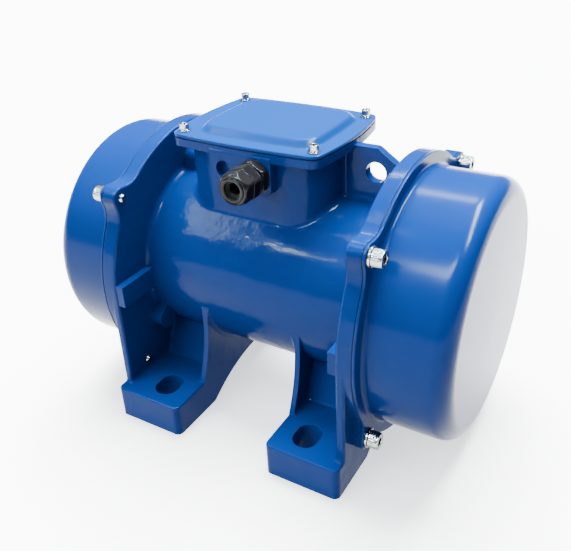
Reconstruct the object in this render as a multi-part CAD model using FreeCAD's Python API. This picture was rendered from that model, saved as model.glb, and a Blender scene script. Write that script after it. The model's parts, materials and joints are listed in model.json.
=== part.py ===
import FreeCAD, Part
import math
import os

# Twin-ended vibration motor: a cast casing on four feet carries a squirrel-cage motor whose shaft
# holds eccentric weights at both ends, each pair under a deep-drawn cover.
# Row frame: X along the shaft, Y across the feet, Z up.  The soles stand on Z = 0.
# All lengths are millimetres, all angles degrees.

# ---- main sizes -----------------------------------------------------------------------------
cover_radius = 100.0
flange_lip = 10.5              # flange, gasket and cover flange stand out this far past the cover
floor_gap = 2.3                # between the flange's lowest point and the floor
flange_radius = cover_radius + flange_lip
axis_height = flange_radius + floor_gap  # shaft axis above the soles

# ---- casing ---------------------------------------------------------------------------------
barrel_radius = 72.5           # outside of the cast barrel
stator_bore_radius = 62.0      # bore that holds the stator stack
spigot_radius = 66.0           # wider bore that takes each bearing housing
spigot_start = 72.0            # distance from mid-motor at which the wider bore begins
flange_inner = 96.0            # inner face of each end flange
flange_outer = 108.0           # machined outer face of each end flange
flange_edge_round = 2.0
barrel_root_round = 4.5        # casting radius where barrel meets flange

# ---- cover screws and their lobes -----------------------------------------------------------
cover_screw_reach = 15.5       # from the cover's barrel out to each screw
cover_screw_angle = 41.0       # above and below the horizontal
lobe_radius = 9.2
lobe_blend = 24.0              # concave radius between lobe and round outline
cover_screw_radius = 4.0
cover_screw_head_radius = 6.5
cover_screw_head = 8.0
cover_screw_socket = 6.0       # across flats
cover_screw_tip = 94.6         # where the threaded end stands out of the flange
cover_screw_turn_angle = 17.0  # each socket stands a little further round than the last
cover_washer_turn_angle = 70.0
spring_washer_radius = 7.4
spring_washer = 2.0
spring_washer_slit = 1.0
spring_washer_slit_angle = 20.0
washer_gap = 0.1               # radial gap between a screw and its washer
thread_gap = 0.05              # radial gap between a screw and its tapped hole
clearance_gap = 0.5            # radial gap between a screw and a plain hole

# ---- feet -----------------------------------------------------------------------------------
foot_inner = 41.0              # |X| of the feet's inner faces
foot_outer = 103.0             # |X| of the feet's outer faces
foot_front = 121.2             # |Y| of the feet's front faces
foot_height = 27.8
foot_corner_round = 5.0
foot_top_round = 1.5
slot_x = 66.0                  # slot centres
slot_y = 98.0
slot_width = 20.0
slot_length = 26.0
sole_back = 70.5               # |Y| where the arch between the feet begins
arch_rise = 22.0
gusset_thickness = 4.5
gusset_foot = 83.0             # |Y| of the gusset's edge at the foot
gusset_waist = 71.0            # |Y| of the gusset's edge at its narrowest
gusset_waist_drop = 44.8       # below the shaft axis
gusset_top_drop = 12.8
gusset_root_round = 4.5        # casting radius where gusset meets barrel
pocket_back = 60.5             # |Y| of the pocket's back wall at the foot's top
pocket_lean = 0.45             # how far that wall leans in for each mm it rises
pocket_round = 3.0
under_wall = 6.0               # walls of the hollow under the barrel
rib_height = 18.0              # level block on the flange's inner face
rib_depth = 6.0

# ---- bosses and lifting eye -----------------------------------------------------------------
boss_angles = (90.0, -30.0, 210.0)
boss_half_width = 9.5
boss_wall = 8.0                # from the screw's centre to the boss's outside
boss_length = 12.0
boss_round = 7.5
eye_x = 76.4
eye_rise = 95.4                # above the shaft axis
eye_radius = 8.0
eye_plate = 8.0                # plate thickness
eye_root_round = 3.0
eye_top_rise = 114.2
eye_shoulder_x = 77.0
eye_slope = 0.73               # fall of the plate's sloping shoulder

# ---- terminal box ---------------------------------------------------------------------------
box_x = -9.2                   # centre of the lid
lid_half_x = 62.0              # corner to corner
lid_half_y = 50.5
lid_bow_x = 5.5                # how far each end bows out
lid_bow_y = 3.0
lid_corner_round = 9.0
rim_rise = 110.2               # above the shaft axis
rim_thickness = 6.2
neck_left = -72.2
neck_right = 50.0
neck_front = 44.2
neck_corner_round = 30.0
neck_root_round = 5.0          # casting radius where the neck meets the barrel
box_floor_rise = 78.2
box_wall = 7.0
lid_screw_x = 55.8
lid_screw_y = 42.3
lid_screw_radius = 2.0
lid_screw_head_radius = 3.5
lid_screw_head = 4.0
lid_screw_socket = 3.0
lid_screw_reach = 5.5          # thread engaged in the rim
lid_washer_radius = 4.5
lid_washer = 0.8
lid_spring_radius = 3.7
lid_spring = 0.9
lid_gasket = 1.0
lid_thickness = 2.5
plateau_x = -6.5               # centre of the raised middle
plateau_half_x = 50.5
plateau_half_y = 41.0
plateau_bow = 1.5
plateau_height = 5.0
plateau_slope_x = 5.0          # how far the plateau's top is set in from its foot
plateau_slope_y = 6.5
plateau_corner_round = 16.0
plateau_edge_round = 2.0
lid_edge_round = 0.9
lid_gasket_inset = 0.8

# ---- cable gland ----------------------------------------------------------------------------
gland_x = 4.0
gland_rise = 99.2              # above the shaft axis
gland_pad_face = 54.0          # |Y| of the raised pad
gland_pad_left = -35.4
gland_pad_right = 17.4
gland_pad_top_rise = 114.0
gland_pad_bottom_rise = 84.2
gland_pad_round = 6.0
gland_thread_radius = 10.0
gland_thread_length = 12.0
gland_bore_radius = 8.0
gland_ring = 1.5
gland_ring_radius = 12.6
gland_flats = 24.0
gland_collar_angle = 30.0
gland_nut_angle = 20.0
gland_hex = 6.0
gland_waist = 1.5              # turned neck between the hexagon and the nut
gland_nut_grip = 10.0
gland_nut_dome = 10.5
gland_nose_radius = 9.4
gland_mouth_radius = 6.5
cable_radius = 4.5
blind_x = -23.0
blind_rise = 99.8
blind_radius = 6.5
blind_depth = 6.0

# ---- covers ---------------------------------------------------------------------------------
cover_end = 171.5
cover_wall = 2.0
cover_edge_round = 13.9
cover_root_round = 3.0
cover_gasket = 0.6
cover_gasket_inset = 0.4
cover_rim_round = 0.6

# ---- rotor, bearings and weights ------------------------------------------------------------
core_half_length = 42.0
rotor_radius = 34.5
air_gap = 0.5
slot_count = 24
stator_slot_width = 5.0
stator_slot_depth = 15.0
stator_lip = 1.5               # lip of iron that half closes each slot
stator_mouth = 2.4             # opening between the lips
winding_gap = 0.2
winding_length = 20.0
rotor_bar_count = 20
rotor_bar_radius = 2.2
end_ring_length = 7.0
shaft_body_radius = 17.5
journal_radius = 15.0
weight_seat_radius = 14.0
shaft_end = 166.0
bearing_width = 19.0
bearing_start = 95.5
bearing_radius = 36.0
race_thickness = 5.2           # of both rings under the rollers
race_lip_share = 0.44          # height of the outer ring's shoulders over the roller's radius
roller_count = 11
roller_length = 11.0
roller_gap = 0.3               # running gap between roller and race
cage_share = 0.36              # half the cage's thickness over the roller's radius
cage_width = 15.0
cage_gap = 0.1
housing_gap = 4.0              # between bearing housing and cover
housing_flange = 7.0
housing_nose = 92.0
housing_lip = 6.0              # shoulder that the bearing rests against
housing_hub_foot = 12.0        # metal round the bearing where the hub leaves the web
housing_hub_tip = 10.0         # and at the hub's nose
housing_web = 15.0             # web between hub and spigot
spigot_wall = 7.0
housing_screw_tip = 90.0
cap_rim = 6.0                  # metal outside the cap's screws
cap_thickness = 4.0
cap_screw_reach = 6.0          # from the bearing's outside to the cap's screws
cap_screw_count = 4
cap_screw_radius = 2.5
cap_screw_head_radius = 4.25
cap_screw_head = 5.0
cap_screw_socket = 4.0
cap_screw_tip = 104.0
seal_radius = 20.0
seal_width = 4.0
running_gap = 0.3
weight_gap = 10.0              # between the weights' rim and the cover
weight_hub_radius = 27.0
fixed_weight_start = 125.5
fixed_weight_width = 16.0
fixed_weight_angle = 75.0      # half angle of the weight's sector
spacer = 3.0
spacer_radius = 22.0
loose_weight_width = 16.0
loose_weight_angle = 62.0
weight_bore_gap = 0.05
clamp_slit = 3.0
clamp_ear_top = 44.0
clamp_ear_half_width = 13.0
clamp_ear_round = 4.0
clamp_screw_height = 35.0      # above the shaft axis
clamp_screw_radius = 4.0
circlip = 1.5
circlip_radius = 17.5
circlip_gap = 8.0              # between the ring's two ends
circlip_groove = 1.0
key_width = 8.0
key_rise = 3.0
key_end_gap = 0.5

# ---- terminals ------------------------------------------------------------------------------
terminal_x = -6.0
terminal_half_x = 26.0
terminal_half_y = 13.0
terminal_height = 12.0
terminal_pitch_x = 17.0
terminal_pitch_y = 14.0
stud_radius = 2.5
stud_height = 12.0             # above the block
nut_flats = 8.0
nut_height = 4.0
stud_depth = 8.0               # let into the block
barrier_width = 1.6            # grooves between the pairs of studs
barrier_depth = 4.0
duct_x = -48.0                 # hole between terminal box and motor for the winding's leads
duct_radius = 7.5

origin = FreeCAD.Vector(0, 0, 0)
along_x = FreeCAD.Vector(1, 0, 0)
along_y = FreeCAD.Vector(0, 1, 0)
along_z = FreeCAD.Vector(0, 0, 1)
sides = (-1, 1)

cover_screw_circle = cover_radius + cover_screw_reach
leg_half_width = flange_radius
gusset_waist_height = axis_height - gusset_waist_drop
gusset_top_height = axis_height - gusset_top_drop
eye_z = axis_height + eye_rise
eye_top = axis_height + eye_top_rise
rim_bottom = axis_height + rim_rise
rim_top = rim_bottom + rim_thickness
box_floor = axis_height + box_floor_rise
gland_z = axis_height + gland_rise
gland_pad_top = axis_height + gland_pad_top_rise
gland_pad_bottom = axis_height + gland_pad_bottom_rise
blind_z = axis_height + blind_rise
housing_radius = cover_radius - cover_wall - housing_gap
housing_screw_circle = (spigot_radius + housing_radius) / 2
inner_race_radius = journal_radius + race_thickness
outer_race_radius = bearing_radius - race_thickness
roller_radius = (outer_race_radius - inner_race_radius) / 2 - roller_gap
roller_circle = (outer_race_radius + inner_race_radius) / 2
race_lip = race_lip_share * roller_radius
cage_half_thickness = cage_share * roller_radius
cap_screw_circle = bearing_radius + cap_screw_reach
cap_radius = cap_screw_circle + cap_rim
boss_radius = housing_screw_circle + boss_wall
weight_radius = cover_radius - cover_wall - weight_gap
cover_face = flange_outer + cover_gasket
screw_seat = cover_face + cover_wall
bearing_end = bearing_start + bearing_width
housing_face = flange_outer + housing_flange
spacer_start = fixed_weight_start + fixed_weight_width
loose_weight_start = spacer_start + spacer + running_gap
loose_weight_end = loose_weight_start + loose_weight_width
lid_bottom = rim_top + lid_gasket
lid_top = lid_bottom + lid_thickness


# ---- small helpers --------------------------------------------------------------------------
def point(x, y, z):
    return FreeCAD.Vector(x, y, z)


def polar(radius, angle):
    """Y and Z of a point on a circle about the shaft axis; 0 degrees is +Y, 90 degrees is up."""
    turn = math.radians(angle)
    return radius * math.cos(turn), axis_height + radius * math.sin(turn)


def cylinder_x(radius, start, end, y=0.0, z=axis_height):
    return Part.makeCylinder(radius, end - start, point(start, y, z), along_x)


def cylinder_y(radius, start, end, x, z):
    return Part.makeCylinder(radius, end - start, point(x, start, z), along_y)


def cylinder_z(radius, start, end, x, y):
    return Part.makeCylinder(radius, end - start, point(x, y, start), along_z)


def block(x_range, y_range, z_range):
    corner = point(x_range[0], y_range[0], z_range[0])
    sizes = [high - low for low, high in (x_range, y_range, z_range)]
    return Part.makeBox(*sizes, corner)


def polygon(corners):
    return Part.Face(Part.makePolygon(corners + corners[:1]))


def prism_x(outline, start, end):
    """Extrude a closed list of (Y, Z) corners from one X to another."""
    return polygon([point(start, y, z) for y, z in outline]).extrude(point(end - start, 0, 0))


def prism_y(outline, start, end):
    """Extrude a closed list of (X, Z) corners from one Y to another."""
    return polygon([point(x, start, z) for x, z in outline]).extrude(point(0, end - start, 0))


def turned(profile):
    """Revolve a closed list of (X, radius) corners about the shaft axis."""
    face = polygon([point(x, 0, axis_height + radius) for x, radius in profile])
    return face.revolve(point(0, 0, axis_height), along_x, 360)


def ring_x(outer, inner, start, end):
    return turned([(start, inner), (end, inner), (end, outer), (start, outer)])


def hexagon(flats, centre, normal, length, turn=0.0):
    """Regular hexagonal bar from a centre point along a row axis."""
    corners = []
    for corner in range(6):
        angle = math.radians(60 * corner + turn)
        across, up = (flats / math.sqrt(3) * math.cos(angle), flats / math.sqrt(3) * math.sin(angle))
        if abs(normal.x) > 0:
            corners.append(centre + point(0, across, up))
        elif abs(normal.y) > 0:
            corners.append(centre + point(across, 0, up))
        else:
            corners.append(centre + point(across, up, 0))
    return polygon(corners).extrude(normal * length)


def mirrored_x(shape):
    return shape.mirror(origin, along_x)


def mirrored_y(shape):
    return shape.mirror(origin, along_y)


def both_ends(shape):
    return [shape, mirrored_x(shape)]


def four_ways(shape):
    half = [shape, mirrored_y(shape)]
    return half + [mirrored_x(piece) for piece in half]


def fused(shapes):
    whole = shapes[0]
    for shape in shapes[1:]:
        whole = whole.fuse(shape)
    return whole


def joined(shapes):
    """Fuse, then merge faces that lie on one surface."""
    return fused(shapes).removeSplitter()


def write(node, solids):
    """Write one node, checked to be closed, valid solids."""
    pieces = [solid for shape in solids for solid in shape.Solids]
    for piece in pieces:
        if not piece.isValid() or piece.Volume <= 0:
            raise ValueError("bad solid in " + node)
    shape = pieces[0] if len(pieces) == 1 else Part.makeCompound(pieces)
    shape.exportStep("parts/" + node + ".step")
    print(node, len(pieces), "solids,", round(shape.Volume / 1000, 1), "cm3")


# ---- outlines shared by several pieces ------------------------------------------------------
def arc(a, b, c):
    return Part.Arc(a, b, c).toShape()


def lobed_outline(x, radius, shrink=0.0):
    """Round outline with a lobe at each cover screw, every lobe eased into the circle by an arc."""
    base = radius - shrink
    lobe = lobe_radius - shrink
    blend = lobe_blend + shrink
    reach, near = base + blend, lobe + blend
    swing = math.degrees(math.acos(
        (reach ** 2 + cover_screw_circle ** 2 - near ** 2) / (2 * reach * cover_screw_circle)))
    centres = [cover_screw_angle, 180 - cover_screw_angle, 180 + cover_screw_angle, 360 - cover_screw_angle]

    def at(r, angle):
        y, z = polar(r, angle)
        return point(x, y, z)

    def toward(start, end, distance):
        return start + (end - start).normalize() * distance

    edges = []
    for index, angle in enumerate(centres):
        screw = at(cover_screw_circle, angle)
        before, after = at(reach, angle - swing), at(reach, angle + swing)
        crest = at(cover_screw_circle + lobe, angle)
        first, last = toward(screw, before, lobe), toward(screw, after, lobe)
        foot, leave = at(base, angle - swing), at(base, angle + swing)
        edges.append(arc(foot, toward(before, (foot + first) * 0.5, blend), first))
        edges.append(arc(first, crest, last))
        edges.append(arc(last, toward(after, (last + leave) * 0.5, blend), leave))
        following = centres[(index + 1) % 4] + (360 if index == 3 else 0)
        middle = (angle + following) / 2
        edges.append(arc(leave, at(base, middle), at(base, following - swing)))
    return Part.Wire(edges)


def bowed_outline(half_x, half_y, bow_x, bow_y, corner, z, centre_x=box_x):
    """Lid outline: four bowed sides joined by round corners, about a centre on the X axis."""
    corners = [(half_x, half_y), (-half_x, half_y), (-half_x, -half_y), (half_x, -half_y)]
    middles = [(0, half_y + bow_y), (-half_x - bow_x, 0), (0, -half_y - bow_y), (half_x + bow_x, 0)]

    def at(pair):
        return point(centre_x + pair[0], pair[1], z)

    sides_wire = Part.Wire([
        arc(at(corners[i]), at(middles[i]), at(corners[(i + 1) % 4])) for i in range(4)])
    slab = Part.Face(sides_wire).extrude(point(0, 0, 1))
    upright = [edge for edge in slab.Edges if abs(edge.tangentAt(edge.FirstParameter).z) > 0.99]
    rounded = slab.makeFillet(corner, upright)
    bottom = min(rounded.Faces, key=lambda face: face.CenterOfMass.z)
    return bottom.OuterWire


def root_ring(wall_radius, root_round, face, way):
    """Concave radius between a round wall and the flat face it stands on; way is the wall's side."""
    reach = wall_radius + root_round
    bulge = root_round * (1 - math.sqrt(0.5))
    inner = axis_height + wall_radius - 1
    top = point(face, 0, axis_height + reach)
    low = point(face + way * root_round, 0, axis_height + wall_radius)
    middle = point(face + way * bulge, 0, axis_height + wall_radius + bulge)
    outline = [low, point(low.x, 0, inner), point(face - way, 0, inner), point(face - way, 0, top.z), top]
    edges = [arc(top, middle, low)]
    edges += [Part.LineSegment(a, b).toShape() for a, b in zip(outline, outline[1:])]
    return Part.Face(Part.Wire(edges)).revolve(point(0, 0, axis_height), along_x, 360)


def plate_z(wire, thickness):
    return Part.Face(wire).extrude(point(0, 0, thickness))


def arch_radius():
    return (sole_back ** 2 + arch_rise ** 2) / (2 * arch_rise)


def arch_tool():
    """Solid of the shallow arch under the middle of each pair of feet."""
    radius = arch_radius()
    return cylinder_x(radius, -flange_outer - 1, flange_outer + 1, 0, arch_rise - radius)


# ---- casing ---------------------------------------------------------------------------------
def cover_screw_places():
    for angle in (cover_screw_angle, 180 - cover_screw_angle, -cover_screw_angle, 180 + cover_screw_angle):
        yield polar(cover_screw_circle, angle)


def end_flange():
    """Lobed flange plate with rounded inner edge."""
    plate = Part.Face(lobed_outline(flange_inner, flange_radius)).extrude(
        point(flange_outer - flange_inner, 0, 0))
    rim = [edge for edge in plate.Edges
           if edge.BoundBox.XMax < flange_inner + 0.01 and edge.Length > 1]
    return plate.makeFillet(flange_edge_round, rim)


def leg_wall():
    """Wall below the flange that carries it on the outer ends of two feet."""
    leg = block((flange_inner, foot_outer), (-leg_half_width, leg_half_width), (0, axis_height))
    upright = [edge for edge in leg.Edges
               if edge.Length > axis_height - 1 and abs(edge.tangentAt(0).z) > 0.99]
    return leg.makeFillet(flange_edge_round, upright).cut(arch_tool())


def foot_pad():
    pad = block((foot_inner, foot_outer), (-foot_front, -pocket_back), (0, foot_height))
    upright = [edge for edge in pad.Edges
               if abs(edge.tangentAt(0).z) > 0.99 and edge.CenterOfMass.y < -foot_front + 1]
    pad = pad.makeFillet(foot_corner_round, upright)
    rim = [edge for edge in pad.Edges
           if edge.BoundBox.ZMin > foot_height - 0.01 and edge.CenterOfMass.y < -pocket_back - 1]
    pad = pad.makeFillet(foot_top_round, rim)
    return pad.cut(arch_tool())


def foot_slot(x, y):
    straight = (slot_length - slot_width) / 2
    radius = slot_width / 2
    ends = [cylinder_z(radius, -1, foot_height + 1, x, y + shift) for shift in (-straight, straight)]
    middle = block((x - radius, x + radius), (y - straight, y + straight), (-1, foot_height + 1))
    return ends[0].fuse(ends[1]).fuse(middle)


def gusset_outline():
    """Face of the wall across the inner ends of two feet, waisted at its front and back edges."""
    half = [point(foot_inner, -gusset_foot, foot_height),
            point(foot_inner, -gusset_waist, gusset_waist_height),
            point(foot_inner, -barrel_radius + 1.5, gusset_top_height)]
    whole = [point(p.x, -p.y, p.z) for p in half]
    edges = [arc(*half), Part.LineSegment(half[2], whole[2]).toShape(), arc(*whole)]
    low = [point(foot_inner, gusset_foot, 1), point(foot_inner, -gusset_foot, 1)]
    for a, b in ((whole[0], low[0]), (low[0], low[1]), (low[1], half[0])):
        edges.append(Part.LineSegment(a, b).toShape())
    return Part.Face(Part.Wire(Part.__sortEdges__(edges)))


def gusset():
    return gusset_outline().extrude(point(gusset_thickness, 0, 0)).cut(arch_tool())


def gusset_root():
    """Casting radius between the barrel and the gusset's face towards the middle of the motor."""
    ring = root_ring(barrel_radius, gusset_root_round, foot_inner, -1)
    return ring.common(gusset_outline().extrude(point(-gusset_root_round - 1, 0, 0)))


def pocket_top():
    return axis_height - barrel_radius / 2


def under_block():
    """Hollow box between the pockets, open below, with the barrel as its ceiling."""
    top = pocket_top()
    rise = top - foot_height
    lean = pocket_lean * rise
    outside = [(-pocket_back, 0), (-pocket_back, foot_height), (-pocket_back + lean, top),
               (pocket_back - lean, top), (pocket_back, foot_height), (pocket_back, 0)]
    inset = under_wall * math.sqrt(1 + pocket_lean ** 2)
    inside = [(-pocket_back + inset, -1), (-pocket_back + inset, foot_height),
              (-pocket_back + inset + lean, top), (pocket_back - inset - lean, top),
              (pocket_back - inset, foot_height), (pocket_back - inset, -1)]
    solid = prism_x(outside, foot_inner, flange_inner + 1)
    hollow = prism_x(inside, foot_inner + gusset_thickness, flange_inner - under_wall)
    return solid.cut(arch_tool()).cut(hollow)


def in_pocket(edge):
    """Whether an edge is an inner corner of a pocket: along its back wall or round its floor."""
    span = edge.LastParameter - edge.FirstParameter
    places = [edge.valueAt(edge.FirstParameter + span * step / 4) for step in range(5)]
    start = foot_inner + gusset_thickness

    def near(gap):
        return abs(gap) < 0.02

    def on_back(place):
        return near(abs(place.y) - pocket_back + pocket_lean * (place.z - foot_height))

    def on_floor(place):
        return near(place.z - foot_height) and abs(place.y) > pocket_back - 0.1

    def on_side(place):
        return near(place.x - start) or near(place.x - flange_inner)

    inside = all(start - 0.1 < place.x < flange_inner + 0.1
                 and foot_height - 0.1 < place.z < pocket_top() + 0.1 for place in places)
    upright = all(on_side(place) and on_back(place) for place in places)
    level = all(on_floor(place) and (on_side(place) or on_back(place)) for place in places)
    return inside and (upright or level)


def pair_of_feet():
    """Front and rear foot at one end with the walls between them, every pocket corner rounded."""
    body = joined([foot_pad(), mirrored_y(foot_pad()), gusset(), under_block(), leg_wall()])
    return body.makeFillet(pocket_round, [edge for edge in body.Edges if in_pocket(edge)])


def level_rib():
    half = rib_height / 2
    return block((flange_inner - rib_depth, flange_inner + 1), (-flange_radius + 1, -barrel_radius + 4),
                 (axis_height - half, axis_height + half))


def screw_boss(angle):
    """Boss beside the flange that takes a bearing-housing screw."""
    boss = block((flange_inner - boss_length, flange_inner + 1),
                 (barrel_radius - 6, boss_radius),
                 (axis_height - boss_half_width, axis_height + boss_half_width))
    outer = [edge for edge in boss.Edges
             if abs(edge.tangentAt(0).x) > 0.99 and edge.CenterOfMass.y > boss_radius - 1]
    boss = boss.makeFillet(boss_round, outer)
    boss.rotate(point(0, 0, axis_height), along_x, angle)
    return boss


def lifting_plate():
    """Plate between terminal box and right flange, pierced for a lifting hook."""
    low = axis_height + barrel_radius - 4
    fall = (flange_inner - eye_shoulder_x) * eye_slope
    outline = [(neck_right - 4, low), (flange_inner + 1, low), (flange_inner + 1, eye_top - fall),
               (eye_shoulder_x, eye_top), (neck_right - 4, eye_top)]
    plate = prism_y(outline, -eye_plate / 2, eye_plate / 2)
    rounded = [edge for edge in plate.Edges
               if edge.BoundBox.ZMin > eye_top - fall - 0.1 and edge.BoundBox.YLength < 0.1]
    return plate.makeFillet(1.2, rounded)


def neck():
    """Terminal box walls, square to the shaft with large round corners."""
    low = axis_height + barrel_radius / 4
    walls = block((neck_left, neck_right), (-neck_front, neck_front), (low, rim_bottom + 1))
    upright = [edge for edge in walls.Edges if abs(edge.tangentAt(0).z) > 0.99]
    return walls.makeFillet(neck_corner_round, upright)


def on_barrel(edge, reach):
    """Whether an edge lies on the upper half of the barrel, with |X| less than reach."""
    span = edge.LastParameter - edge.FirstParameter
    places = [edge.valueAt(edge.FirstParameter + span * step / 4) for step in range(5)]
    return all(abs(math.hypot(place.y, place.z - axis_height) - barrel_radius) < 0.02
               and abs(place.x) < reach and place.z > axis_height for place in places)


def barrel_with_neck():
    """Barrel, terminal box walls and lifting plate, joined by casting radii."""
    end = flange_inner + 1
    body = joined([cylinder_x(barrel_radius, -end, end), neck()])
    body = body.makeFillet(neck_root_round, [edge for edge in body.Edges if on_barrel(edge, flange_inner)])
    body = joined([body, lifting_plate()])
    foot = [edge for edge in body.Edges
            if on_barrel(edge, end + 1) and abs(abs(edge.CenterOfMass.y) - eye_plate / 2) < 0.1]
    return body.makeFillet(eye_root_round, foot)


def gland_pad():
    pad = block((gland_pad_left, gland_pad_right), (-gland_pad_face, -neck_front + 6),
                (gland_pad_bottom, gland_pad_top))
    face = [edge for edge in pad.Edges if abs(edge.tangentAt(0).y) > 0.99]
    low = [edge for edge in face if edge.CenterOfMass.z < gland_pad_bottom + 1]
    pad = pad.makeFillet(gland_pad_round, low)
    rim = [edge for edge in pad.Edges if edge.BoundBox.YMax < -gland_pad_face + 0.01]
    return pad.makeFillet(1.2, rim)


def lid_screw_places():
    for x in (box_x - lid_screw_x, box_x + lid_screw_x):
        for y in (-lid_screw_y, lid_screw_y):
            yield x, y


def box_cavity():
    half = neck_front - box_wall
    cavity = block((neck_left + box_wall, neck_right - box_wall), (-half, half), (box_floor, lid_bottom + 1))
    upright = [edge for edge in cavity.Edges if abs(edge.tangentAt(0).z) > 0.99]
    return cavity.makeFillet(neck_corner_round - box_wall, upright)


def casing():
    solids = [barrel_with_neck()]
    solids += both_ends(end_flange())
    solids += both_ends(root_ring(barrel_radius, barrel_root_round, flange_inner, -1))
    solids += both_ends(pair_of_feet())
    solids += four_ways(level_rib())
    solids += [side for angle in boss_angles for side in both_ends(screw_boss(angle))]
    rim = plate_z(bowed_outline(lid_half_x, lid_half_y, lid_bow_x, lid_bow_y, lid_corner_round, rim_bottom),
                  rim_top - rim_bottom)
    solids += [rim, gland_pad()] + both_ends(gusset_root())
    body = fused(solids)
    tools = [cylinder_x(stator_bore_radius, -flange_outer - 1, flange_outer + 1)]
    tools += both_ends(cylinder_x(spigot_radius, spigot_start, flange_outer + 1))
    tools += [foot_slot(side * slot_x, way * slot_y) for side in sides for way in sides]
    tools += [cylinder_y(eye_radius, -eye_plate, eye_plate, eye_x, eye_z), box_cavity()]
    tools += [cylinder_y(gland_thread_radius + thread_gap, -gland_pad_face - 1, -neck_front + box_wall + 1,
                         gland_x, gland_z)]
    tools += [cylinder_y(blind_radius, -gland_pad_face - 1, -gland_pad_face + blind_depth, blind_x, blind_z)]
    tools += [cylinder_z(duct_radius, axis_height, box_floor + 1, duct_x, 0)]
    tools += [cylinder_z(lid_screw_radius + thread_gap, rim_bottom - 1, rim_top + 1, x, y)
              for x, y in lid_screw_places()]
    hole = cover_screw_radius + thread_gap
    tools += [side for y, z in cover_screw_places()
              for side in both_ends(cylinder_x(hole, flange_inner - 3, flange_outer + 1, y, z))]
    for angle in boss_angles:
        y, z = polar(housing_screw_circle, angle)
        tools += both_ends(cylinder_x(hole, housing_screw_tip - 2, flange_outer + 1, y, z))
    for tool in tools:
        body = body.cut(tool)
    return body


# ---- covers and their fastening -------------------------------------------------------------
def cover_gasket_ring():
    outline = lobed_outline(flange_outer, flange_radius, cover_gasket_inset)
    ring = Part.Face(outline).extrude(point(cover_gasket, 0, 0))
    ring = ring.cut(cylinder_x(cover_radius - cover_wall, flange_outer - 1, cover_face + 1))
    hole = cover_screw_radius + clearance_gap
    for y, z in cover_screw_places():
        ring = ring.cut(cylinder_x(hole, flange_outer - 1, cover_face + 1, y, z))
    return ring


def cover():
    """Drawn cup: a lobed flange, a short root radius and a large outer edge radius."""
    flange = Part.Face(lobed_outline(cover_face, flange_radius)).extrude(point(cover_wall, 0, 0))
    rim = [edge for edge in flange.Edges
           if edge.BoundBox.XMin > screw_seat - 0.01 and edge.Length > 1]
    flange = flange.makeFillet(cover_rim_round, rim)
    root = root_ring(cover_radius, cover_root_round, screw_seat, 1)
    cup = cylinder_x(cover_radius, cover_face, cover_end)
    edge = [item for item in cup.Edges if item.BoundBox.XMin > cover_end - 0.01]
    cup = cup.makeFillet(cover_edge_round, edge)
    core = cylinder_x(cover_radius - cover_wall, cover_face - 1, cover_end - cover_wall)
    edge = [item for item in core.Edges if item.BoundBox.XMin > cover_end - cover_wall - 0.01]
    core = core.makeFillet(cover_edge_round - cover_wall, edge)
    shell = joined([flange, root, cup]).cut(core)
    hole = cover_screw_radius + clearance_gap
    for y, z in cover_screw_places():
        shell = shell.cut(cylinder_x(hole, cover_face - 1, screw_seat + 1, y, z))
    return shell


def cap_screw(radius, head_radius, head, flats, tip, seat):
    """Socket-head screw along X at the origin of Y and Z: tip and seat are X positions."""
    shank = Part.makeCylinder(radius, seat - tip, point(tip, 0, 0), along_x)
    chamfer = [edge for edge in shank.Edges if edge.BoundBox.XMax < tip + 0.01]
    shank = shank.makeChamfer(radius * 0.2, chamfer)
    top = Part.makeCylinder(head_radius, head, point(seat, 0, 0), along_x)
    rim = [edge for edge in top.Edges if edge.BoundBox.XMin > seat + head - 0.01]
    top = top.makeChamfer(head_radius * 0.1, rim)
    socket = hexagon(flats, point(seat + head * 0.4, 0, 0), along_x, head)
    return shank.fuse(top).cut(socket)


def split_washer(outer, inner, thickness, start):
    """Spring washer with its slanted gap, along X at the origin of Y and Z."""
    ring = Part.makeCylinder(outer, thickness, point(start, 0, 0), along_x)
    ring = ring.cut(Part.makeCylinder(inner, thickness + 2, point(start - 1, 0, 0), along_x))
    half = spring_washer_slit / 2
    slit = block((start - thickness, start + 2 * thickness), (-half, half), (0, outer + 1))
    slit.rotate(point(start, 0, 0), along_z, spring_washer_slit_angle)
    return ring.cut(slit)


def placed(shape, y, z, turn=0.0):
    copy = shape.copy()
    copy.rotate(origin, along_x, turn)
    copy.translate(point(0, y, z))
    return copy


def cover_screws(side_shape, turn_step):
    pieces = []
    for index, (y, z) in enumerate(cover_screw_places()):
        pieces += both_ends(placed(side_shape, y, z, turn_step * index))
    return pieces


# ---- terminal box ---------------------------------------------------------------------------
def lid_plate():
    outline = bowed_outline(lid_half_x, lid_half_y, lid_bow_x, lid_bow_y, lid_corner_round, lid_bottom)
    slab = plate_z(outline, lid_thickness)
    rim = [edge for edge in slab.Edges if edge.BoundBox.ZMin > lid_top - 0.01]
    return slab.makeFillet(lid_edge_round, rim)


def plateau(low, high, spread):
    """Raised middle of the lid: a frustum with round corners, spread outwards by a given amount."""
    wires = []
    for z, inset_x, inset_y in ((low, 0.0, 0.0), (high, plateau_slope_x, plateau_slope_y)):
        half_x = plateau_half_x - inset_x + spread
        half_y = plateau_half_y - inset_y + spread
        corner = plateau_corner_round - inset_x / 2 + spread
        wires.append(bowed_outline(half_x, half_y, plateau_bow, plateau_bow, corner, z, plateau_x))
    return Part.makeLoft(wires, True, True)


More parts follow.
